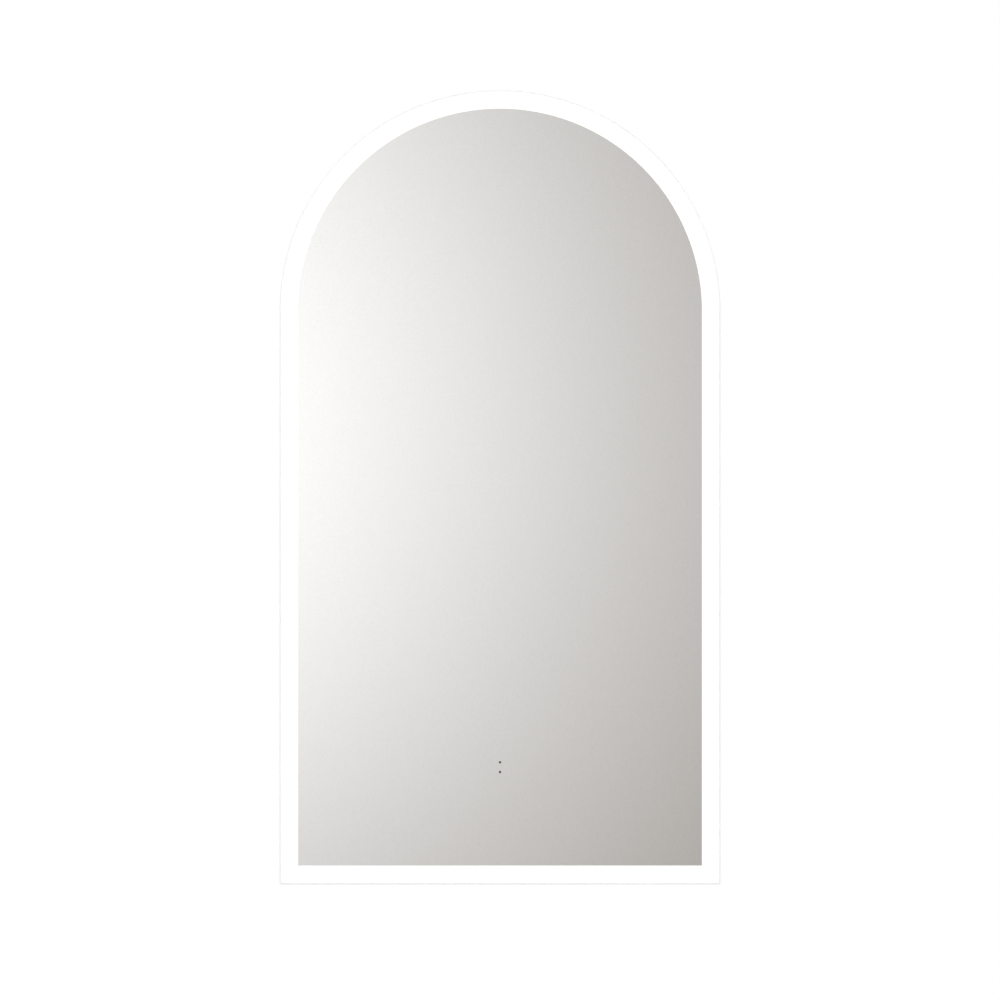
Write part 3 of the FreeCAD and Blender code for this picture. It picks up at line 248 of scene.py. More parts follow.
# Effects that several materials share. A scale is about how many features a metre has, and a pair is where a
# mask begins and where it is full.
grainLook = dict(detail=3, blotchScale=35, blotchShare=0.6)
lineLook = dict(detail=4, broadScale=0.2)
edgeLook = dict(bent=(0.98, 0.8), samples=4, chipScale=600, chips=(0.35, 0.6))
dustLook = dict(colour=rgb(0.78, 0.76, 0.73), roughness=0.9, scale=60, patches=(0.35, 0.75),
                upward=(-0.2, 1), underneath=0.3)
roundLook = dict(aligned=(0.9978, 0.9993))


# The colour and roughness that a group is given, both varied by a value that swings round zero
def varySurface(tree, given, result, swing, contrast):
    shade = calc(tree, "MULTIPLY_ADD", swing, contrast, 1.0)
    tree.links.new(times(tree, given["Colour"], shade), result["Colour"])
    roughness = calc(tree, "MULTIPLY_ADD", swing, given["Spread"], given["Roughness"])
    tree.links.new(roughness, result["Roughness"])


def buildGrain():
    # Fine grain with slow blotches over it: brighter and darker by Mottle, rougher and smoother by Spread
    inputs = ["Colour", "Mottle", "Size", "Roughness", "Spread"]
    tree, given, result = newGroup("grain", inputs, ["Colour", "Roughness", "Height"])
    place = objectPlace(tree)
    fine = noise(tree, place, calc(tree, "DIVIDE", 1 / mm, given["Size"]), grainLook["detail"])
    slow = noise(tree, place, grainLook["blotchScale"], grainLook["detail"])
    slowPart = product(tree, slow, grainLook["blotchShare"])
    both = calc(tree, "MULTIPLY_ADD", fine, 1 - grainLook["blotchShare"], slowPart)
    varySurface(tree, given, result, calc(tree, "SUBTRACT", both, 0.5), given["Mottle"])
    tree.links.new(fine, result["Height"])
    return tree


def buildLines():
    # Streaks: noise stretched along one way of the place that comes in
    inputs = ["Colour", "Contrast", "Roughness", "Spread", "Stretched"]
    tree, given, result = newGroup("drawnLines", inputs, ["Colour", "Roughness", "Height"])
    fine = noise(tree, given["Stretched"], 1.0, lineLook["detail"])
    broad = noise(tree, given["Stretched"], lineLook["broadScale"])
    middle = product(tree, calc(tree, "ADD", fine, broad), 0.5)
    varySurface(tree, given, result, calc(tree, "SUBTRACT", middle, 0.5), given["Contrast"])
    tree.links.new(fine, result["Height"])
    return tree


def buildSoftEdge():
    # Edges seen by a bevelled normal: Edge is where it leaves the true one, broken up into chips. Materials
    # give it a grey of wear, which where lighter is also a painted highlight
    tree, given, result = newGroup("softEdge", ["Radius"], ["Edge", "Normal"])
    inputs = {"Radius": given["Radius"]}
    bevel = addNode(tree, "ShaderNodeBevel", inputs, samples=edgeLook["samples"]).outputs[0]
    flat = addNode(tree, "ShaderNodeNewGeometry").outputs["True Normal"]
    bent = ramp(tree, vectorCalc(tree, "DOT_PRODUCT", bevel, flat), *edgeLook["bent"])
    chips = ramp(tree, noise(tree, objectPlace(tree), edgeLook["chipScale"], 3.0), *edgeLook["chips"])
    tree.links.new(product(tree, bent, chips), result["Edge"])
    tree.links.new(bevel, result["Normal"])
    return tree


def buildDust():
    # Pale dust that settles in soft patches, more on what faces up
    tree, given, result = newGroup("settledDust", ["Colour", "Roughness", "Amount"], ["Colour", "Roughness"])
    patches = ramp(tree, noise(tree, objectPlace(tree), dustLook["scale"], 5.0), *dustLook["patches"])
    upward = ramp(tree, surfaceNormal(tree)[2], *dustLook["upward"], dustLook["underneath"], 1.0)
    mask = product(tree, product(tree, patches, upward), given["Amount"])
    tree.links.new(mixed(tree, mask, given["Colour"], dustLook["colour"]), result["Colour"])
    rougher = calc(tree, "SUBTRACT", dustLook["roughness"], given["Roughness"])
    tree.links.new(calc(tree, "MULTIPLY_ADD", mask, rougher, given["Roughness"]), result["Roughness"])
    return tree


def buildOutlinePlace():
    # Where a point lies on the arch: x is its inset from the outline, y its depth, and z runs along the arch
    tree, _, result = newGroup("outlinePlace", [], ["Place"])
    x, y, z = separated(tree, objectPlace(tree))
    side = calc(tree, "ABSOLUTE", x)
    over = calc(tree, "MAXIMUM", calc(tree, "SUBTRACT", z, springHeight), 0.0)
    reach = calc(tree, "SQRT", calc(tree, "MULTIPLY_ADD", side, side, product(tree, over, over)))
    legInset = calc(tree, "SUBTRACT", halfWidth, reach)
    footInset = calc(tree, "SUBTRACT", z, footHeight)
    onFoot = calc(tree, "LESS_THAN", footInset, legInset)
    climb = product(tree, calc(tree, "ARCTAN2", over, side), halfWidth)
    legRun = calc(tree, "ADD", calc(tree, "MINIMUM", z, springHeight), climb)
    inset = calc(tree, "MINIMUM", legInset, footInset)
    footShare = product(tree, onFoot, x)
    legShare = product(tree, calc(tree, "SUBTRACT", 1.0, onFoot), legRun)
    tree.links.new(combined(tree, inset, y, calc(tree, "ADD", footShare, legShare)), result["Place"])
    return tree


def buildArchNormal():
    # On the arch's walls, the normal of the true circle in place of the facets'
    tree, given, result = newGroup("archNormal", ["Faceted"], ["Normal"])
    x, _, z = separated(tree, objectPlace(tree))
    over = calc(tree, "MAXIMUM", calc(tree, "SUBTRACT", z, springHeight), 0.0)
    radial = vectorCalc(tree, "NORMALIZE", combined(tree, x, 0.0, over))
    facing = vectorCalc(tree, "DOT_PRODUCT", given["Faceted"], radial)
    aligned = ramp(tree, calc(tree, "ABSOLUTE", facing), *roundLook["aligned"])
    inputs = {0: aligned, 4: given["Faceted"], 5: times(tree, radial, calc(tree, "SIGN", facing))}
    blend = addNode(tree, "ShaderNodeMix", inputs, data_type="VECTOR").outputs[1]
    tree.links.new(vectorCalc(tree, "NORMALIZE", blend), result["Normal"])
    return tree


grain = buildGrain()
drawnLines = buildLines()
softEdge = buildSoftEdge()
settledDust = buildDust()
outlinePlace = buildOutlinePlace()
archNormal = buildArchNormal()
print("shared effects ready")


def newMaterial(name, **constants):
    materials[name] = bpy.data.materials.new(name)
    materials[name].use_nodes = True
    tree = materials[name].node_tree
    shader = tree.nodes["Principled BSDF"]
    for key, value in constants.items():
        shader.inputs[key.replace("_", " ")].default_value = value
    return tree, shader.inputs


# A material that starts from the grain and the shader's constants that look gives
def grainedMaterial(name, look):
    tree, shader = newMaterial(name, **look["shader"])
    return tree, shader, useGroup(tree, grain, **look["grain"])


# Joins what a group made to a shader, or the colour and height given in its place, with dust over it and
# edges rounded and showing a little wear, their grey also a painted highlight where it is lighter. bump and
# edgeRadius are in mm.
def finishSurface(tree, shader, made, colour=None, height=None, bump=0.02, dust=0.1, edgeWearAndHighlight=None,
                  edgeRadius=0.25, onArch=False):
    edges = useGroup(tree, softEdge, Radius=edgeRadius * mm)
    normal = useGroup(tree, archNormal, Faceted=edges["Normal"])["Normal"] if onArch else edges["Normal"]
    colour = colour or made["Colour"]
    # Edges take the grey of wear, and where it is lighter than the colour, a painted highlight too
    if edgeWearAndHighlight:
        colour = mixed(tree, edges["Edge"], colour, edgeWearAndHighlight)
    dusty = useGroup(tree, settledDust, Colour=colour, Roughness=made["Roughness"], Amount=dust)
    tree.links.new(dusty["Colour"], shader["Base Color"])
    tree.links.new(dusty["Roughness"], shader["Roughness"])
    inputs = {"Height": height or made["Height"], "Normal": normal, "Distance": bump * mm}
    tree.links.new(addNode(tree, "ShaderNodeBump", inputs).outputs[0], shader["Normal"])


# Moulded and coated surfaces. size is the grain's in mm, bump its depth, and edge the grey of edges: wear,
# and where it is lighter than the colour, a painted highlight too.
mouldings = {
    "box_plastic": dict(colour=rgb(0.8, 0.8, 0.785), roughness=0.46, size=0.5, bump=0.03, edge=0.95),
    "terminal_plastic": dict(colour=rgb(0.74, 0.75, 0.7), roughness=0.35, size=0.8, bump=0.01, edge=0.95),
    "gland_plastic": dict(colour=rgb(0.02, 0.02, 0.022), roughness=0.38, size=0.4, bump=0.02, edge=0.06),
    "sensor_plastic": dict(colour=rgb(0.022, 0.022, 0.024), roughness=0.5, size=0.35, bump=0.04, edge=0.07),
    "boot_plastic": dict(colour=rgb(0.035, 0.035, 0.037), roughness=0.52, size=0.4, bump=0.03, edge=0.08),
    "bumper_rubber": dict(colour=grey(0.018), roughness=0.72, size=0.6, bump=0.05, edge=0.04),
    "clip_plastic": dict(colour=rgb(0.76, 0.76, 0.72), roughness=0.33, size=0.9, bump=0.01, edge=0.9),
    "lead_white": dict(colour=rgb(0.79, 0.79, 0.765), roughness=0.36, size=1.2, bump=0.02),
    "silicone": dict(colour=rgb(0.78, 0.79, 0.78), roughness=0.28, size=1.5, bump=0.02),
    "foam_tape": dict(colour=rgb(0.8, 0.8, 0.79), roughness=0.85, size=0.25, bump=0.12),
    "ferrite": dict(colour=rgb(0.028, 0.028, 0.031), roughness=0.62, size=0.3, bump=0.04, edge=0.08),
    "dark_lens": dict(colour=rgb(0.148, 0.144, 0.139), roughness=0.12, size=0.5, bump=0.002),
    "tray_steel": dict(colour=rgb(0.79, 0.795, 0.795), roughness=0.4, size=1.1, bump=0.05, edge=0.6,
                       mottle=0.06, spread=0.2, dust=0.12, coat=0.15, coatRoughness=0.2),
}


def mouldedMaterial(name, colour, roughness, size, bump, edge=None, mottle=0.12, spread=0.25, dust=0.08,
                    coat=0.06, coatRoughness=0.3):
    tree, shader = newMaterial(name, Coat_Weight=coat, Coat_Roughness=coatRoughness)
    made = useGroup(tree, grain, Colour=colour, Mottle=mottle, Size=size, Roughness=roughness, Spread=spread)
    finishSurface(tree, shader, made, bump=bump, dust=dust, edgeWearAndHighlight=grey(edge) if edge else None)


# Metals with drawn or rolled lines. stretch is how many streaks a millimetre there are along x, y and z.
metals = {
    "key_zinc": dict(colour=rgb(0.44, 0.46, 0.48), roughness=0.42, spread=0.25, stretch=(0.1, 4, 0.9)),
    "screw_steel": dict(colour=rgb(0.66, 0.655, 0.62), roughness=0.26, spread=0.25, stretch=(2, 2, 2)),
    "tinned_copper": dict(colour=rgb(0.68, 0.67, 0.63), roughness=0.3, spread=0.2, stretch=(0.4, 3, 3)),
    "brass": dict(colour=rgb(0.74, 0.55, 0.26), roughness=0.27, spread=0.2, stretch=(3, 0.3, 3),
                  edgeWearAndHighlight=rgb(0.9, 0.74, 0.42)),
}


# Their edges turn a lighter grey: wear, and a painted highlight
def metalMaterial(name, colour, roughness, spread, stretch, edgeWearAndHighlight=rgb(0.86, 0.86, 0.85)):
    tree, shader = newMaterial(name, Metallic=1.0)
    place = vectorCalc(tree, "MULTIPLY", objectPlace(tree), [streaks / mm for streaks in stretch])
    values = dict(Contrast=0.3, Roughness=roughness, Spread=spread, Stretched=place)
    made = useGroup(tree, drawnLines, Colour=colour, **values)
    finishSurface(tree, shader, made, bump=0.004, dust=0.05, edgeWearAndHighlight=edgeWearAndHighlight)


# Satin anodised, with faint die lines that follow the extrusion, and a lip in front painted near-white and
# barely
# metallic: a painted highlight standing for a bright-cut edge. lines is how many a metre has inwards, in
# depth and along. The lip fades out between two insets from the outline and two depths from the front, in mm.
aluminium = dict(
    colour=rgb(0.6, 0.605, 0.61),
    edgeWearAndHighlight=rgb(0.86, 0.86, 0.865),
    lines=(1300, 1300, 4),
    drawn=dict(Contrast=0.12, Roughness=0.36, Spread=0.2), etched=dict(Mottle=0.05, Size=0.12),
    lipPaintedHighlight=grey(0.99), lipMetallic=0.05,
    lipInset=(1.8, 1.6), lipDepth=(0.8, 0.3),
)


def aluminiumMaterial():
    tree, shader = newMaterial("aluminium", Metallic=1.0)
    outline = useGroup(tree, outlinePlace)["Place"]
    inset, depth, _ = separated(tree, outline)
    nearRim = ramp(tree, inset, *metres(aluminium["lipInset"]))
    nearFront = ramp(tree, depth, *metres(aluminium["lipDepth"], frameLow[1]))
    # The lip's mask: there the colour is painted near-white and barely metallic, a painted highlight
    lip = product(tree, nearRim, nearFront)
    tree.links.new(between(tree, lip, 1.0, aluminium["lipMetallic"]), shader["Metallic"])
    satinWithPaintedLip = mixed(tree, lip, aluminium["colour"], aluminium["lipPaintedHighlight"])
    place = vectorCalc(tree, "MULTIPLY", outline, aluminium["lines"])
    drawn = useGroup(tree, drawnLines, Colour=satinWithPaintedLip, Stretched=place, **aluminium["drawn"])
    etched = useGroup(tree, grain, Colour=drawn["Colour"], **aluminium["etched"])
    height = calc(tree, "ADD", drawn["Height"], etched["Height"])
    # Edges turn a lighter grey: wear, and a painted highlight
    finishSurface(tree, shader, drawn, etched["Colour"], height, bump=0.002, dust=0.04,
                  edgeWearAndHighlight=aluminium["edgeWearAndHighlight"], edgeRadius=0.12, onArch=True)


# Hot-dipped sheet: crystals of zinc, each of its own shade and gloss, under rolling streaks. warp is how far
# their borders stray, in mm.
galvanised = dict(
    dark=rgb(0.44, 0.455, 0.47), light=rgb(0.6, 0.615, 0.63), edgeWearAndHighlight=grey(0.8),
    roughness=(0.34, 0.52),
    crystalScale=190, crystalShare=0.65,
    warpScale=90, warp=6,
    streakScale=180, streakWays=(1, 6, 6),
)


def galvanisedMaterial():
    tree, shader = newMaterial("galvanised_steel", Metallic=1.0)
    place = objectPlace(tree)
    warp = noise(tree, place, galvanised["warpScale"], output="Color")
    warped = vectorCalc(tree, "MULTIPLY_ADD", warp, metres([galvanised["warp"]] * 3), place)
    crystals = cells(tree, warped, galvanised["crystalScale"], "Color")
    crystalPart = product(tree, separated(tree, crystals)[0], galvanised["crystalShare"])
    rolled = vectorCalc(tree, "MULTIPLY", place, galvanised["streakWays"])
    streaks = noise(tree, rolled, galvanised["streakScale"], 4.0)
    both = calc(tree, "MULTIPLY_ADD", streaks, 1 - galvanised["crystalShare"], crystalPart)
    colour = mixed(tree, both, galvanised["dark"], galvanised["light"])
    made = dict(Colour=colour, Roughness=ramp(tree, both, 0.1, 0.9, *galvanised["roughness"]), Height=both)
    # Edges turn a lighter grey: wear, and a painted highlight
    finishSurface(tree, shader, made, bump=0.01, edgeWearAndHighlight=galvanised["edgeWearAndHighlight"], edgeRadius=0.3)


# Clear float glass with a faint green cast, and a ground rim where the surface turns from the front
glass = dict(
    colour=rgb(0.985, 0.995, 0.99),
    rimColour=rgb(0.8, 0.93, 0.88), rimTurn=(0.99, 0.9), rimRoughness=(0.3, 0.6), groundScale=2500,
)


def glassMaterial():
    tree, shader = newMaterial("clear_glass", Transmission_Weight=1.0, IOR=1.52)
    rim = ramp(tree, calc(tree, "ABSOLUTE", surfaceNormal(tree)[1]), *glass["rimTurn"])
    tree.links.new(mixed(tree, rim, glass["colour"], glass["rimColour"]), shader["Base Color"])
    ground = between(tree, noise(tree, objectPlace(tree), glass["groundScale"]), *glass["rimRoughness"])
    tree.links.new(product(tree, rim, ground), shader["Roughness"])


# Silver behind the glass, with a very fine grain
silver = dict(
    shader=dict(Metallic=1, Roughness=0),
    grain=dict(Colour=rgb(0.955, 0.953, 0.945), Mottle=0.02, Size=2),
    speckScale=620, speck=(0.96, 1.04),
)


def silverMaterial():
    tree, shader, made = grainedMaterial("silver", silver)
    speck = between(tree, noise(tree, objectPlace(tree), silver["speckScale"], 1.0), *silver["speck"])
    tree.links.new(times(tree, made["Colour"], speck), shader["Base Color"])


# The etched band, lit from behind: even light with a fine grain, a shade dimmer at the band's edges and
# between the lamps. middle is its inset from the outline and fade where it dims, in mm.
frosted = dict(
    shader=dict(Emission_Strength=0.95),
    grain=dict(Colour=rgb(1, 1, 0.985), Mottle=0.03, Size=0.3, Roughness=0.6, Spread=0.1),
    unlit=0.4,
    middle=11.2, fade=(3, 11), edgeLevel=0.94,
    lampPitch=16.71, ripple=0.01,
)


def frostedMaterial():
    tree, shader, made = grainedMaterial("frostedBand", frosted)
    inset, _, along = separated(tree, useGroup(tree, outlinePlace)["Place"])
    fromMiddle = distance(tree, inset, frosted["middle"] * mm)
    across = ramp(tree, fromMiddle, *metres(frosted["fade"]), 1.0, frosted["edgeLevel"])
    lamps = wave(tree, "COSINE", along, frosted["lampPitch"])
    lamps = calc(tree, "MULTIPLY_ADD", lamps, frosted["ripple"], 1 - frosted["ripple"])
    glow = times(tree, made["Colour"], product(tree, across, lamps))
    tree.links.new(glow, shader["Emission Color"])
    tree.links.new(times(tree, made["Colour"], frosted["unlit"]), shader["Base Color"])
    tree.links.new(made["Roughness"], shader["Roughness"])


# Safety film with a woven scrim in it: raised threads crossing every few millimetres, and long soft creases
film = dict(
    shader=dict(Coat_Weight=0.1, Coat_Roughness=0.35),
    grain=dict(Colour=rgb(0.4, 0.425, 0.45), Mottle=0.14, Size=1.4, Roughness=0.45, Spread=0.2),
    pitch=5, thread=(0.75, 0.97), threadColour=rgb(0.62, 0.64, 0.66), threadShare=0.45,
    creaseScale=14, creaseWays=(1, 1, 0.25), creaseHeight=3,
    bump=0.06,
)


def filmMaterial():
    tree, shader, made = grainedMaterial("film", film)
    place = objectPlace(tree)
    x, _, z = separated(tree, place)
    threads = [ramp(tree, wave(tree, "COSINE", way, film["pitch"]), *film["thread"]) for way in (x, z)]
    scrim = calc(tree, "MAXIMUM", *threads)
    mask = product(tree, scrim, film["threadShare"])
    colour = mixed(tree, mask, made["Colour"], film["threadColour"])
    creasePlace = vectorCalc(tree, "MULTIPLY", place, film["creaseWays"])
    creases = ramp(tree, noise(tree, creasePlace, film["creaseScale"], 3.0), 0.3, 0.7)
    height = calc(tree, "MULTIPLY_ADD", creases, film["creaseHeight"], scrim)
    finishSurface(tree, shader, made, colour, height, film["bump"], dust=0.12)


# Laminated heater film: milky, with the bubbles and faint ripples of its adhesive
heaterFilm = dict(
    shader=dict(Coat_Weight=0.3, Coat_Roughness=0.15),
    grain=dict(Colour=rgb(0.66, 0.68, 0.68), Mottle=0.12, Size=2, Roughness=0.32, Spread=0.2),
    bubble=(0.16, 0.1), bubbleColour=rgb(0.8, 0.82, 0.82), bubbleShare=0.25, bubbleScale=420,
    rippleScale=45,
    bump=0.08,
)


def heaterFilmMaterial():
    tree, shader, made = grainedMaterial("demister_film", heaterFilm)
    place = objectPlace(tree)
    spots = ramp(tree, cells(tree, place, heaterFilm["bubbleScale"]), *heaterFilm["bubble"])
    mask = product(tree, spots, heaterFilm["bubbleShare"])
    colour = mixed(tree, mask, made["Colour"], heaterFilm["bubbleColour"])
    height = calc(tree, "ADD", spots, noise(tree, place, heaterFilm["rippleScale"]))
    finishSurface(tree, shader, made, colour, height, heaterFilm["bump"], dust=0.08)


# Etched foil of the heater, seen through its laminate
foil = dict(
    shader=dict(Metallic=0.85, Coat_Weight=0.4, Coat_Roughness=0.2),
    drawn=dict(Colour=rgb(0.25, 0.25, 0.26), Contrast=0.25, Roughness=0.38, Spread=0.2),
    lines=(300, 1000, 3000),
)


def foilMaterial():
    tree, shader = newMaterial("heaterFoil", **foil["shader"])
    place = vectorCalc(tree, "MULTIPLY", objectPlace(tree), foil["lines"])
    made = useGroup(tree, drawnLines, Stretched=place, **foil["drawn"])
    finishSurface(tree, shader, made, bump=0.01)


# Green solder mask over copper tracks
circuit = dict(
    shader=dict(Coat_Weight=0.4, Coat_Roughness=0.15),
    grain=dict(Colour=rgb(0.012, 0.1, 0.035), Mottle=0.2, Size=0.8, Roughness=0.3, Spread=0.1),
    track=(0.06, 0.1), trackColour=rgb(0.02, 0.17, 0.06), trackScale=420,
)


def circuitMaterial():
    tree, shader, made = grainedMaterial("circuit_board", circuit)
    edge = cells(tree, objectPlace(tree), circuit["trackScale"], feature="DISTANCE_TO_EDGE")
    mask = ramp(tree, edge, *circuit["track"])
    colour = mixed(tree, mask, circuit["trackColour"], made["Colour"])
    finishSurface(tree, shader, made, colour, mask, bump=0.03)


# What is wound or banded: stripes of a pitch in mm along one way, 0 for x, 1 for y and 2 for z. stripe is
# between which heights of a wave the dark goes over into the colour. On the winding the dark is painted shade
# between the turns of wire; on the capacitor it is a band on its sleeve.
wrapped = dict(
    shader=dict(Coat_Weight=0.3, Coat_Roughness=0.2),
    grain=dict(Mottle=0.15, Size=0.6, Roughness=0.35, Spread=0.2),
    stripe=(-0.9, -0.4),
)
wrappings = {
    "winding": dict(colour=rgb(0.72, 0.5, 0.1), dark=rgb(0.45, 0.3, 0.05), pitch=2.4, way=2),
    "capacitor": dict(colour=rgb(0.02, 0.022, 0.04), dark=rgb(0.3, 0.31, 0.33), pitch=9, way=0),
}


def wrappedMaterial(name, colour, dark, pitch, way):
    tree, shader = newMaterial(name, **wrapped["shader"])
    along = separated(tree, objectPlace(tree))[way]
    stripes = ramp(tree, wave(tree, "SINE", along, pitch), *wrapped["stripe"])
    made = useGroup(tree, grain, Colour=colour, **wrapped["grain"])
    # The dark stripes: painted shade between the winding's turns, a band on the capacitor's sleeve
    finishSurface(tree, shader, made, mixed(tree, stripes, dark, made["Colour"]), stripes, bump=0.06)


# White flexible circuit, with two tinned pads at every cutting line, in mm. apart is from the strip's middle
# to a pad's, and across and along are where a pad begins and where it is full.
strip = dict(
    shader=dict(Coat_Weight=0.2, Coat_Roughness=0.2),
    grain=dict(Colour=rgb(0.82, 0.82, 0.79), Mottle=0.06, Size=0.7, Roughness=0.35, Spread=0.1),
    padColour=rgb(0.7, 0.55, 0.35),
    cutEvery=50, apart=2.2, across=(1.1, 0.9), along=(2.3, 2),
)


def stripMaterial():
    tree, shader, made = grainedMaterial("strip_board", strip)
    _, depth, along = separated(tree, useGroup(tree, outlinePlace)["Place"])
    fromPad = distance(tree, distance(tree, depth, stripDepth), strip["apart"] * mm)
    fromCut = calc(tree, "PINGPONG", along, strip["cutEvery"] / 2 * mm)
    acrossPad = ramp(tree, fromPad, *metres(strip["across"]))
    pad = product(tree, acrossPad, ramp(tree, fromCut, *metres(strip["along"])))
    finishSurface(tree, shader, made, mixed(tree, pad, made["Colour"], strip["padColour"]), pad, bump=0.03)


# A light-emitting diode: phosphor in a white rim, which begins at phosphor millimetres from the middle
diode = dict(
    shader=dict(Emission_Strength=0.6, Coat_Weight=0.5),
    grain=dict(Colour=rgb(0.86, 0.66, 0.16), Mottle=0.25, Size=0.3, Roughness=0.3, Spread=0.2),
    rimColour=rgb(0.85, 0.85, 0.83), phosphor=(1.2, 1.4),
)


def diodeMaterial():
    tree, shader, made = grainedMaterial("led_lamp", diode)
    depth = separated(tree, useGroup(tree, outlinePlace)["Place"])[1]
    rim = ramp(tree, distance(tree, depth, stripDepth), *metres(diode["phosphor"]))
    colour = mixed(tree, rim, made["Colour"], diode["rimColour"])
    tree.links.new(colour, shader["Emission Color"])
    finishSurface(tree, shader, made, colour)


# Green sheath with a yellow stripe along the front and the back
earth = dict(
    shader=dict(Coat_Weight=0.1),
    grain=dict(Colour=rgb(0.06, 0.3, 0.07), Mottle=0.12, Size=0.8, Roughness=0.38, Spread=0.2),
    stripe=(0.66, 0.72), stripeColour=rgb(0.8, 0.62, 0.05),
)


def earthMaterial():
    tree, shader, made = grainedMaterial("lead_earth", earth)
    stripe = ramp(tree, calc(tree, "ABSOLUTE", surfaceNormal(tree)[1]), *earth["stripe"])
    finishSurface(tree, shader, made, mixed(tree, stripe, made["Colour"], earth["stripeColour"]))


for build, looks in ((mouldedMaterial, mouldings), (metalMaterial, metals), (wrappedMaterial, wrappings)):
    for name, values in looks.items():
        build(name, **values)
aluminiumMaterial()
galvanisedMaterial()
glassMaterial()
silverMaterial()
frostedMaterial()
filmMaterial()
heaterFilmMaterial()
foilMaterial()
circuitMaterial()
stripMaterial()
diodeMaterial()
earthMaterial()
for node in cadNodes.values():
    slotName = node.material_slots[0].material.name.split(".")[0]
    node.material_slots[0].material = materials[slotName]
print("materials ready")


# The glass pane: front and back run in to the middle line of the arch, with an arris round both. Its back
# lies a hair inside the silver, so that the two never share a plane.
pane = dict(arris=0.4, sunk=0.03, headSteps=128, straightSteps=10)


def makeGlassPane():
    front, back = glassLow[1], glassHigh[1] + pane["sunk"] * mm
    arris = pane["arris"] * mm
    frontHalf = [(halfWidth, front), (glassInset + arris, front), (glassInset, front + arris)]
    backHalf = [(glassInset, back - arris), (glassInset + arris, back), (halfWidth, back)]
    turns = outlineTurns(pane["headSteps"], pane["straightSteps"])
    grid = carriedRoundOutline(frontHalf + backHalf, turns)
    piece = gridPiece("glassPane", [grid], "clear_glass")
    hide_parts("mirror_glass")


# The frosted band, etched just inside the back of the glass between its rim and the silver: a thin rectangle
# carried round the arch
band = dict(fromRim=0.05, depth=0.04, behind=0.02, headSteps=192, straightSteps=16)


def makeFrostedBand():
    rim = glassInset + band["fromRim"] * mm
    back = silverLow[1] - band["behind"] * mm
    front = back - band["depth"] * mm
    section = [(rim, front), (silverInset, front), (silverInset, back), (rim, back)]
    grid = carriedRoundOutline(section, outlineTurns(band["headSteps"], band["straightSteps"]))
    gridPiece("frostedBand", [grid], "clear_glass", "frostedBand", wrapRows=True)


# Screws with a cross recess and a thread, in mm. wallGap is the share by which the rings beside a recess's
# wall stand off it, and sideTop the share of its height where a head's side ends. A screw's points keep
# within longest and widest.
screw = dict(
    headRadius=2.8, crown=0.75, crownRings=(0.35, 0.7, 0.92), rounding=0.12,
    armReach=1.55, armHalfWidth=0.38, recessDepth=1.15, recessRise=0.45, wallGap=0.02,
    sideTop=0.75, threadFrom=0.05,
    shankRadius=1.45, rootRadius=1.12, pitch=1.1, tipLength=1.6,
    threadSteps=4, columnsPerArm=7,
    longest=20, widest=6,
)
armMeet = screw["armHalfWidth"] * math.sqrt(2)  # where the edges of two arms meet


# The angles of a ring's points, which follow the edges of the recess's four arms, and which of them lie in an
# arm. An edge keeps its distance from its arm's middle line, so its angle is the arcsine of half width over
# radius.
def armAngles(radius):
    columns, gap = screw["columnsPerArm"], screw["wallGap"]
    edge = math.asin(screw["armHalfWidth"] / max(radius, armMeet))
    beside = np.linspace(edge + gap, math.pi / 2 - edge - gap, columns - 2)
    quarter = np.concatenate([[gap - edge, edge - gap], beside])
    angles = np.concatenate([quarter + i * math.pi / 2 for i in range(4)])
    inArm = np.tile(np.arange(columns) < 2, 4) | (radius < armMeet)
    return angles, inArm & (radius < screw["armReach"])


# A screw that stands at the origin with its head up, as rings from the head's middle to the tip. The head is
# a parabola of the radius, less the recess, which gets shallower outwards. The thread's radius is a triangle
# wave of the height less a turn's share.
def screwGrid(headHeight, grip, countersunk):
    reach, head, shank, root = (screw[key] for key in ("armReach", "headRadius", "shankRadius", "rootRadius"))
    crown = 0.0 if countersunk else screw["crown"]
    rim = 0.0 if countersunk else headHeight - crown
    inside, outside = 1 - screw["wallGap"], 1 + screw["wallGap"]
    columns = 4 * screw["columnsPerArm"]
    evenAngles = (np.arange(columns) - 0.5) * 2 * math.pi / columns
    rings = []
    across = [0.0, armMeet / 2, armMeet * inside, armMeet * outside]
    across += [(armMeet + reach) / 2, reach * inside, reach * outside]
    for radius in across:
        angles, inArm = armAngles(radius)
        depth = screw["recessDepth"] * (1 - screw["recessRise"] * radius / reach)
        height = rim + crown * (1 - (radius / head) ** 2) - depth * inArm
        rings.append((radius, angles, height))
    last = armAngles(reach * outside)[0]
    for share in screw["crownRings"]:
        radius = reach + (head - reach) * share
        angles = last + (evenAngles - last) * share
        rings.append((radius, angles, rim + crown * (1 - (radius / head) ** 2)))
    if countersunk:
        under = [(head, 0.0), (shank, shank - head)]
    else:
        rounding = screw["rounding"]
        under = [(head, rim * screw["sideTop"]), (head, rounding), (head - rounding, 0.0), (shank, 0.0)]
    rings += [(radius, evenAngles, height) for radius, height in under]
    start = under[-1][1]
    steps = max(2, int((grip + start) / screw["pitch"] * screw["threadSteps"]))
    for height in np.linspace(start - screw["threadFrom"], -grip, steps):
        turns = height / screw["pitch"] - evenAngles / (2 * math.pi)
        threaded = root + (shank - root) * np.abs(2 * np.mod(turns, 1.0) - 1)
        taper = min(1.0, (height + grip) / min(screw["tipLength"], grip / 3))
        rings.append((threaded * taper, evenAngles, height))
    return np.stack([turned(*ring) for ring in rings]) * mm


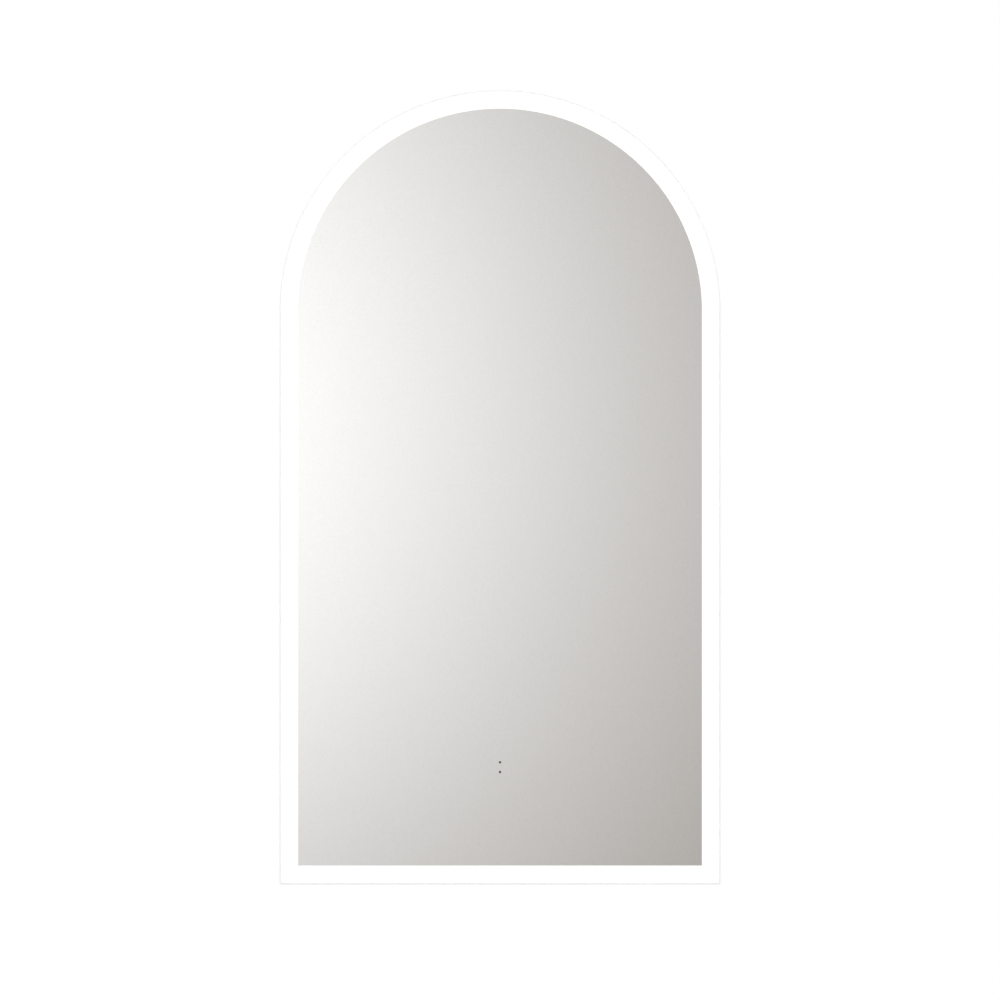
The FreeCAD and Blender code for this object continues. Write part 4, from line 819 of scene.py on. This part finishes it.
# The lowest and highest corner of each screw of a CAD node, told apart by their places across the axis
def screwBoxes(node, axis):
    mesh = cadNodes[node].data
    points = np.empty(len(mesh.vertices) * 3, np.float32)
    mesh.vertices.foreach_get("co", points)
    points = points.reshape(-1, 3).astype(float)
    boxes = []
    while len(points):
        away = points - points[0]
        near = np.abs(away[:, axis]) < screw["longest"] * mm
        away[:, axis] = 0
        near &= np.linalg.norm(away, axis=1) < screw["widest"] * mm
        boxes.append((points[near].min(axis=0), points[near].max(axis=0)))
        points = points[~near]
    return boxes


# Turns a grid that stands on the origin by spin, points its +Z along out and moves it to its seat
def stoodOn(grid, seat, out, spin):
    turn = np.array([[math.cos(spin), -math.sin(spin), 0], [math.sin(spin), math.cos(spin), 0], [0, 0, 1]])
    side = np.array([0.0, 0.0, 1.0]) if abs(out[2]) < 0.5 else np.array([1.0, 0.0, 0.0])
    axes = np.array([side, np.cross(out, side), out])
    return grid @ turn.T @ axes + seat


# Heads face the wall, or the middle of the mirror where the screws stand along x
def makeScrews(name, node, axis, headHeight=2.0, countersunk=False):
    chance = np.random.default_rng(len(node))
    grids = []
    for low, high in screwBoxes(node, axis):
        middle = (low + high) / 2
        towards = 1.0 if axis == 1 else -np.sign(middle[0])
        out = np.zeros(3)
        out[axis] = towards
        length = (high[axis] - low[axis]) / mm
        seat = middle.copy()
        seat[axis] = (high if towards > 0 else low)[axis] - towards * headHeight * mm
        grid = screwGrid(headHeight, length - headHeight, countersunk)
        grids.append(stoodOn(grid, seat, out, chance.uniform(0, math.pi)))
    piece = gridPiece(name, grids, "screw_steel", sharpAngle=40)
    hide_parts(node)


# The gland's dome nut: a tube wall turned about its axis, even on its side and a quarter of an ellipse down
# to the tip. A grip groove is the cube of a cosine across, and fades at both ends. bore, chamfer and groove
# are in mm, and the rest are shares of the length or the radius.
dome = dict(
    bore=3.3, chamfer=0.3, side=0.6, tip=0.58,
    ribs=12, groove=0.55, fadeIn=0.12, fadeOut=(0.58, 0.68),
    columns=192, sideRows=12, tipRows=14, firstRow=0.02, sideStart=0.06, tipStart=0.64,
)


def makeGlandDome():
    low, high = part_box("gland_dome_nut")
    length, outer = high[2] - low[2], (high[0] - low[0]) / 2
    sideRows = np.linspace(dome["sideStart"], dome["side"], dome["sideRows"])
    tipRows = np.linspace(dome["tipStart"], 1.0, dome["tipRows"])
    along = np.concatenate([[0, dome["firstRow"]], sideRows, tipRows])
    curve = np.clip((along - dome["side"]) / (1 - dome["side"]), 0, 1)
    radius = outer * (dome["tip"] + (1 - dome["tip"]) * np.sqrt(1 - curve ** 2))
    radius[0] -= dome["chamfer"] * mm
    around = np.linspace(0, 2 * math.pi, dome["columns"], endpoint=False)
    groove = dome["groove"] * mm * np.clip(np.cos(around * dome["ribs"]), 0, 1) ** 3
    fadeStart, fadeEnd = dome["fadeOut"]
    fade = np.clip(along / dome["fadeIn"], 0, 1) * np.clip((fadeEnd - along) / (fadeEnd - fadeStart), 0, 1)
    wall = radius[:, None] - fade[:, None] * groove[None, :]
    radii = np.vstack([wall, np.full((2, dome["columns"]), dome["bore"] * mm)])
    heights = np.concatenate([along, [1.0, 0.0]]) * length
    grid = turned(radii, around, heights[:, None])
    seat = np.array([(low[0] + high[0]) / 2, (low[1] + high[1]) / 2, high[2]])
    placed = stoodOn(grid, seat, np.array([0.0, 0.0, -1.0]), 0.0)
    piece = gridPiece("glandDome", [placed], "gland_plastic", wrapRows=True, sharpAngle=50)
    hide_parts("gland_dome_nut")


# The heater's foil: one ribbon to and fro across the pad, in mm
heater = dict(margin=12, pitch=8, width=3.2, thickness=0.05, sunk=0.01, turnSteps=12)


# The ribbon's middle line: level runs a pitch apart, with half circles at their ends
def heaterPath(low, high):
    margin, radius = heater["margin"] * mm, heater["pitch"] / 2 * mm
    left, right = low[0] + margin + radius, high[0] - margin - radius
    heights = np.arange(low[2] + margin, high[2] - margin, 2 * radius)
    turn = np.linspace(-math.pi / 2, math.pi / 2, heater["turnSteps"])[1:-1]
    runs = []
    for i, height in enumerate(heights):
        towards = 1 if i % 2 == 0 else -1
        start, end = (left, right) if towards > 0 else (right, left)
        runs.append([(start, height), (end, height)])
        if i < len(heights) - 1:
            x, z = end + towards * radius * np.cos(turn), height + radius + radius * np.sin(turn)
            runs.append(np.stack([x, z], axis=-1))
    return np.vstack(runs)


# The line moved half a width to both sides, at the pad's back and a foil's thickness behind it
def makeHeaterTrace():
    low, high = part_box("demister_pad")
    path = heaterPath(low, high)
    tangent = np.gradient(path, axis=0)
    tangent /= np.linalg.norm(tangent, axis=1, keepdims=True)
    side = np.stack([-tangent[:, 1], tangent[:, 0]], axis=-1) * heater["width"] / 2 * mm
    near, far = high[1] - heater["sunk"] * mm, high[1] + heater["thickness"] * mm
    rows = []
    for sign, y in ((-1, near), (-1, far), (1, far), (1, near)):
        edge = path + sign * side
        rows.append(np.stack([edge[:, 0], np.full(len(path), y), edge[:, 1]], axis=-1))
    ribbon = np.stack(rows, axis=1)
    ends = [np.repeat(ribbon[i].mean(axis=0)[None, None], 4, axis=1) for i in (0, -1)]
    grid = np.concatenate([ends[0], ribbon, ends[1]])
    gridPiece("heaterTrace", [grid], "demister_film", "heaterFoil")


# Each set of screws: piece, CAD node and axis it stands along, and the height of its heads if not the usual
screwSets = [
    ("hangerScrews", "hanger_screws", 0),
    ("trayScrews", "tray_screws", 0),
    ("deviceScrews", "device_screws", 1),
    ("junctionCoverScrews", "junction_cover_screws", 1),
    ("driverCoverScrews", "driver_cover_screws", 1),
    ("earthScrew", "earth_screw", 1),
    ("cornerScrews", "corner_screws", 1, 0, True),
]
makeGlassPane()
makeFrostedBand()
for screwSet in screwSets:
    makeScrews(*screwSet)
makeGlandDome()
makeHeaterTrace()
print("pieces ready")


# The camera looks straight at the mirror through a long lens. width is what it takes in at the mirror.
camera = dict(lens=200, sensor=36, width=1.1325, height=-0.1476, clip=(0.1, 60))
cameraDistance = camera["width"] / 2 / (camera["sensor"] / 2 / camera["lens"])


def makeCamera():
    data = bpy.data.cameras.new("camera")
    data.lens, data.sensor_width = camera["lens"], camera["sensor"]
    data.clip_start, data.clip_end = camera["clip"]
    eye = newObject("camera", data)
    eye.location = (0.0, frameLow[1] - cameraDistance, camera["height"])
    eye.rotation_euler = (math.pi / 2, 0.0, 0.0)
    bpy.context.scene.camera = eye


# A stage sheet from a grid of points, rows x columns x 3
def stageSheet(name, grid, material):
    rows, columns = grid.shape[:2]
    faces = gridFaces(np.arange(rows * columns).reshape(rows, columns))
    mesh = bpy.data.meshes.new(name)
    mesh.from_pydata(grid.reshape(-1, 3).tolist(), [], faces.tolist())
    mesh.shade_smooth()
    mesh.materials.append(material)
    sheet = newObject(name, mesh)
    return sheet


# The pale floor. The camera sees white with the shadow left in, while gloss and glass see it a little greyer,
# and brighter further out. lift and mirroredLift are what is added near the mirror and far from it, and the
# pair beside each is between which distances. wallDrop is what gloss loses towards the wall, whose foot has
# the same tone.
floor = dict(
    below=1.2, reach=15,
    greys=(0.4752, 0.48), speckleScale=400,
    lift=(0.38, 0.57), liftFrom=(3, 6.5),
    mirroredLift=(0.06, 0.36), mirroredFrom=(1.5, 5),
    wallDrop=0.13, wallDropFrom=(5, 9.5),
)
floorHeight = footHeight - floor["below"]


# Which rays come from the camera, and which from gloss or glass
def raySorts(tree):
    path = addNode(tree, "ShaderNodeLightPath").outputs
    return path["Is Camera Ray"], calc(tree, "MAXIMUM", path["Is Glossy Ray"], path["Is Transmission Ray"])


def makeFloor():
    tree, shader = newMaterial("paleFloor", Roughness=0.9, Emission_Color=grey(1.0))
    place = objectPlace(tree)
    dark, light = map(grey, floor["greys"])
    shade = mixed(tree, noise(tree, place, floor["speckleScale"]), dark, light)
    tree.links.new(shade, shader["Base Color"])
    away = vectorCalc(tree, "LENGTH", place)
    fromCamera, mirrored = raySorts(tree)
    lift = product(tree, fromCamera, ramp(tree, away, *floor["liftFrom"], *floor["lift"]))
    share = ramp(tree, away, *floor["mirroredFrom"], *floor["mirroredLift"])
    drop = ramp(tree, away, *floor["wallDropFrom"], 0.0, floor["wallDrop"])
    mirroredLift = product(tree, mirrored, calc(tree, "SUBTRACT", share, drop))
    tree.links.new(calc(tree, "MAXIMUM", lift, mirroredLift), shader["Emission Strength"])
    x, y = np.meshgrid([-floor["reach"], floor["reach"]], [-floor["reach"], floor["reach"]])
    stageSheet("paleFloor", np.stack([x, y, np.full((2, 2), floorHeight)], axis=-1), materials["paleFloor"])


# A tall wall behind the camera, flat in the middle and curved forward on both sides, which only the mirror
# and other gloss see. Its light falls off as a bell from beyond the mirror's left edge, its centre and spread
# as they appear on the mirror. Aside and aloft it has soft patches, and at its foot the floor's tone.
card = dict(
    distance=8, flat=3, top=9, arcSteps=24,
    centre=(-0.6183, -0.0352), spread=(0.7763, 0.7138),
    dark=rgb(0.2939, 0.2664, 0.2458), bright=rgb(1.2637, 1.254, 1.2612),
    aside=(1.3, 5), aloft=(1.4, 4), patchScale=0.45, patchLevels=(0.42, 0.86),
    footHeight=0.68, footColour=grey(0.66),
)


def makeCard():
    material = bpy.data.materials.new("softCard")
    material.use_nodes = True
    tree = material.node_tree
    tree.nodes.clear()
    place = objectPlace(tree)
    x, _, z = separated(tree, place)
    reach = (cameraDistance + card["distance"] + frameLow[1]) / cameraDistance  # over its size on the mirror
    middles = (card["centre"][0] * reach, camera["height"] + (card["centre"][1] - camera["height"]) * reach)
    squares = []
    for way, middle, spread in zip((x, z), middles, card["spread"]):
        share = calc(tree, "DIVIDE", calc(tree, "SUBTRACT", way, middle), spread * reach)
        squares.append(product(tree, share, share))
    bell = calc(tree, "EXPONENT", product(tree, calc(tree, "ADD", *squares), -1.0))
    aside = ramp(tree, calc(tree, "ABSOLUTE", x), *card["aside"])
    aloft = ramp(tree, distance(tree, z, middles[1]), *card["aloft"])
    patch = ramp(tree, noise(tree, place, card["patchScale"], 1.0), 0.3, 0.7, *card["patchLevels"])
    patches = combined(tree, patch, patch, patch)
    lit = mixed(tree, bell, card["dark"], card["bright"])
    colour = mixed(tree, calc(tree, "MAXIMUM", aside, aloft), lit, patches)
    nearFloor = ramp(tree, z, floorHeight, floorHeight + card["footHeight"], 1.0, 0.0)
    colour = mixed(tree, nearFloor, colour, card["footColour"])
    emission = addNode(tree, "ShaderNodeEmission", {"Color": colour, "Strength": 1.0}).outputs[0]
    addNode(tree, "ShaderNodeOutputMaterial", {"Surface": emission})
    turn = np.linspace(0, math.pi / 2, card["arcSteps"])
    flat, far = card["flat"], card["distance"]
    side = np.stack([flat + far * np.sin(turn), -far * np.cos(turn)], axis=-1)
    plan = np.vstack([side[::-1] * (-1, 1), side])
    rows = [np.column_stack([plan, np.full(len(plan), level)]) for level in (floorHeight, card["top"])]
    sheet = stageSheet("softCard", np.stack(rows), material)
    sheet.visible_camera = sheet.visible_diffuse = sheet.visible_shadow = False


# Soft lamps: (name, place, side of its square, power in watts). Gloss doesn't see them, so that no metal is
# burnt out. ambient is the sky's light on the object.
lamps = [
    ("keyLamp", (-2.8, -3.4, 2.4), 5.6, 72),
    ("fillLamp", (3.2, -2.8, 1.2), 4.2, 42),
    ("backLamp", (2.6, 3.4, 1.9), 5.6, 66),
    ("backFillLamp", (-3.2, 2.6, 1.2), 4.2, 40),
]
ambient = 0.84


def makeLamps():
    middle = np.array([0.0, 0.0, (footHeight + frameHigh[2]) / 2])
    for name, place, side, power in lamps:
        data = bpy.data.lights.new(name, "AREA")
        data.shape, data.size, data.energy = "SQUARE", side, power
        lamp = newObject(name, data)
        lamp.location = place
        lamp.visible_glossy = lamp.visible_transmission = False
        towards = middle - np.array(place)
        tilt = math.acos(-towards[2] / np.linalg.norm(towards))
        lamp.rotation_euler = (tilt, 0.0, math.atan2(towards[1], towards[0]) - math.pi / 2)


# The sky that gloss sees: darker from the horizon to the zenith, between the heights in climb, with a glow
# behind the mirror on each side, from the first cosine in within to the second
sky = dict(horizon=1, zenith=0.6, climb=(0.1, 0.9), glow=0.5, towards=(0.6, 0.7, 0.35), within=(0.65, 0.97))


def makeWorld():
    world = bpy.data.worlds.new("studio")
    world.use_nodes = True
    bpy.context.scene.world = world
    tree = world.node_tree
    tree.nodes.clear()
    x, y, z = separated(tree, addNode(tree, "ShaderNodeTexCoord").outputs["Generated"])
    fading = ramp(tree, z, *sky["climb"], sky["horizon"], sky["zenith"])
    eitherSide = combined(tree, calc(tree, "ABSOLUTE", x), y, z)
    aligned = vectorCalc(tree, "DOT_PRODUCT", eitherSide, sky["towards"])
    light = calc(tree, "ADD", fading, ramp(tree, aligned, *sky["within"], 0.0, sky["glow"]))
    fromCamera, mirrored = raySorts(tree)
    seen = calc(tree, "MAXIMUM", fromCamera, product(tree, mirrored, light))
    inputs = {"Color": grey(1.0), "Strength": calc(tree, "MAXIMUM", seen, ambient)}
    backdrop = addNode(tree, "ShaderNodeBackground", inputs).outputs[0]
    addNode(tree, "ShaderNodeOutputWorld", {"Surface": backdrop})


makeCamera()
makeFloor()
makeCard()
makeLamps()
makeWorld()
bpy.context.scene.view_settings.view_transform = "Standard"
print("studio ready")
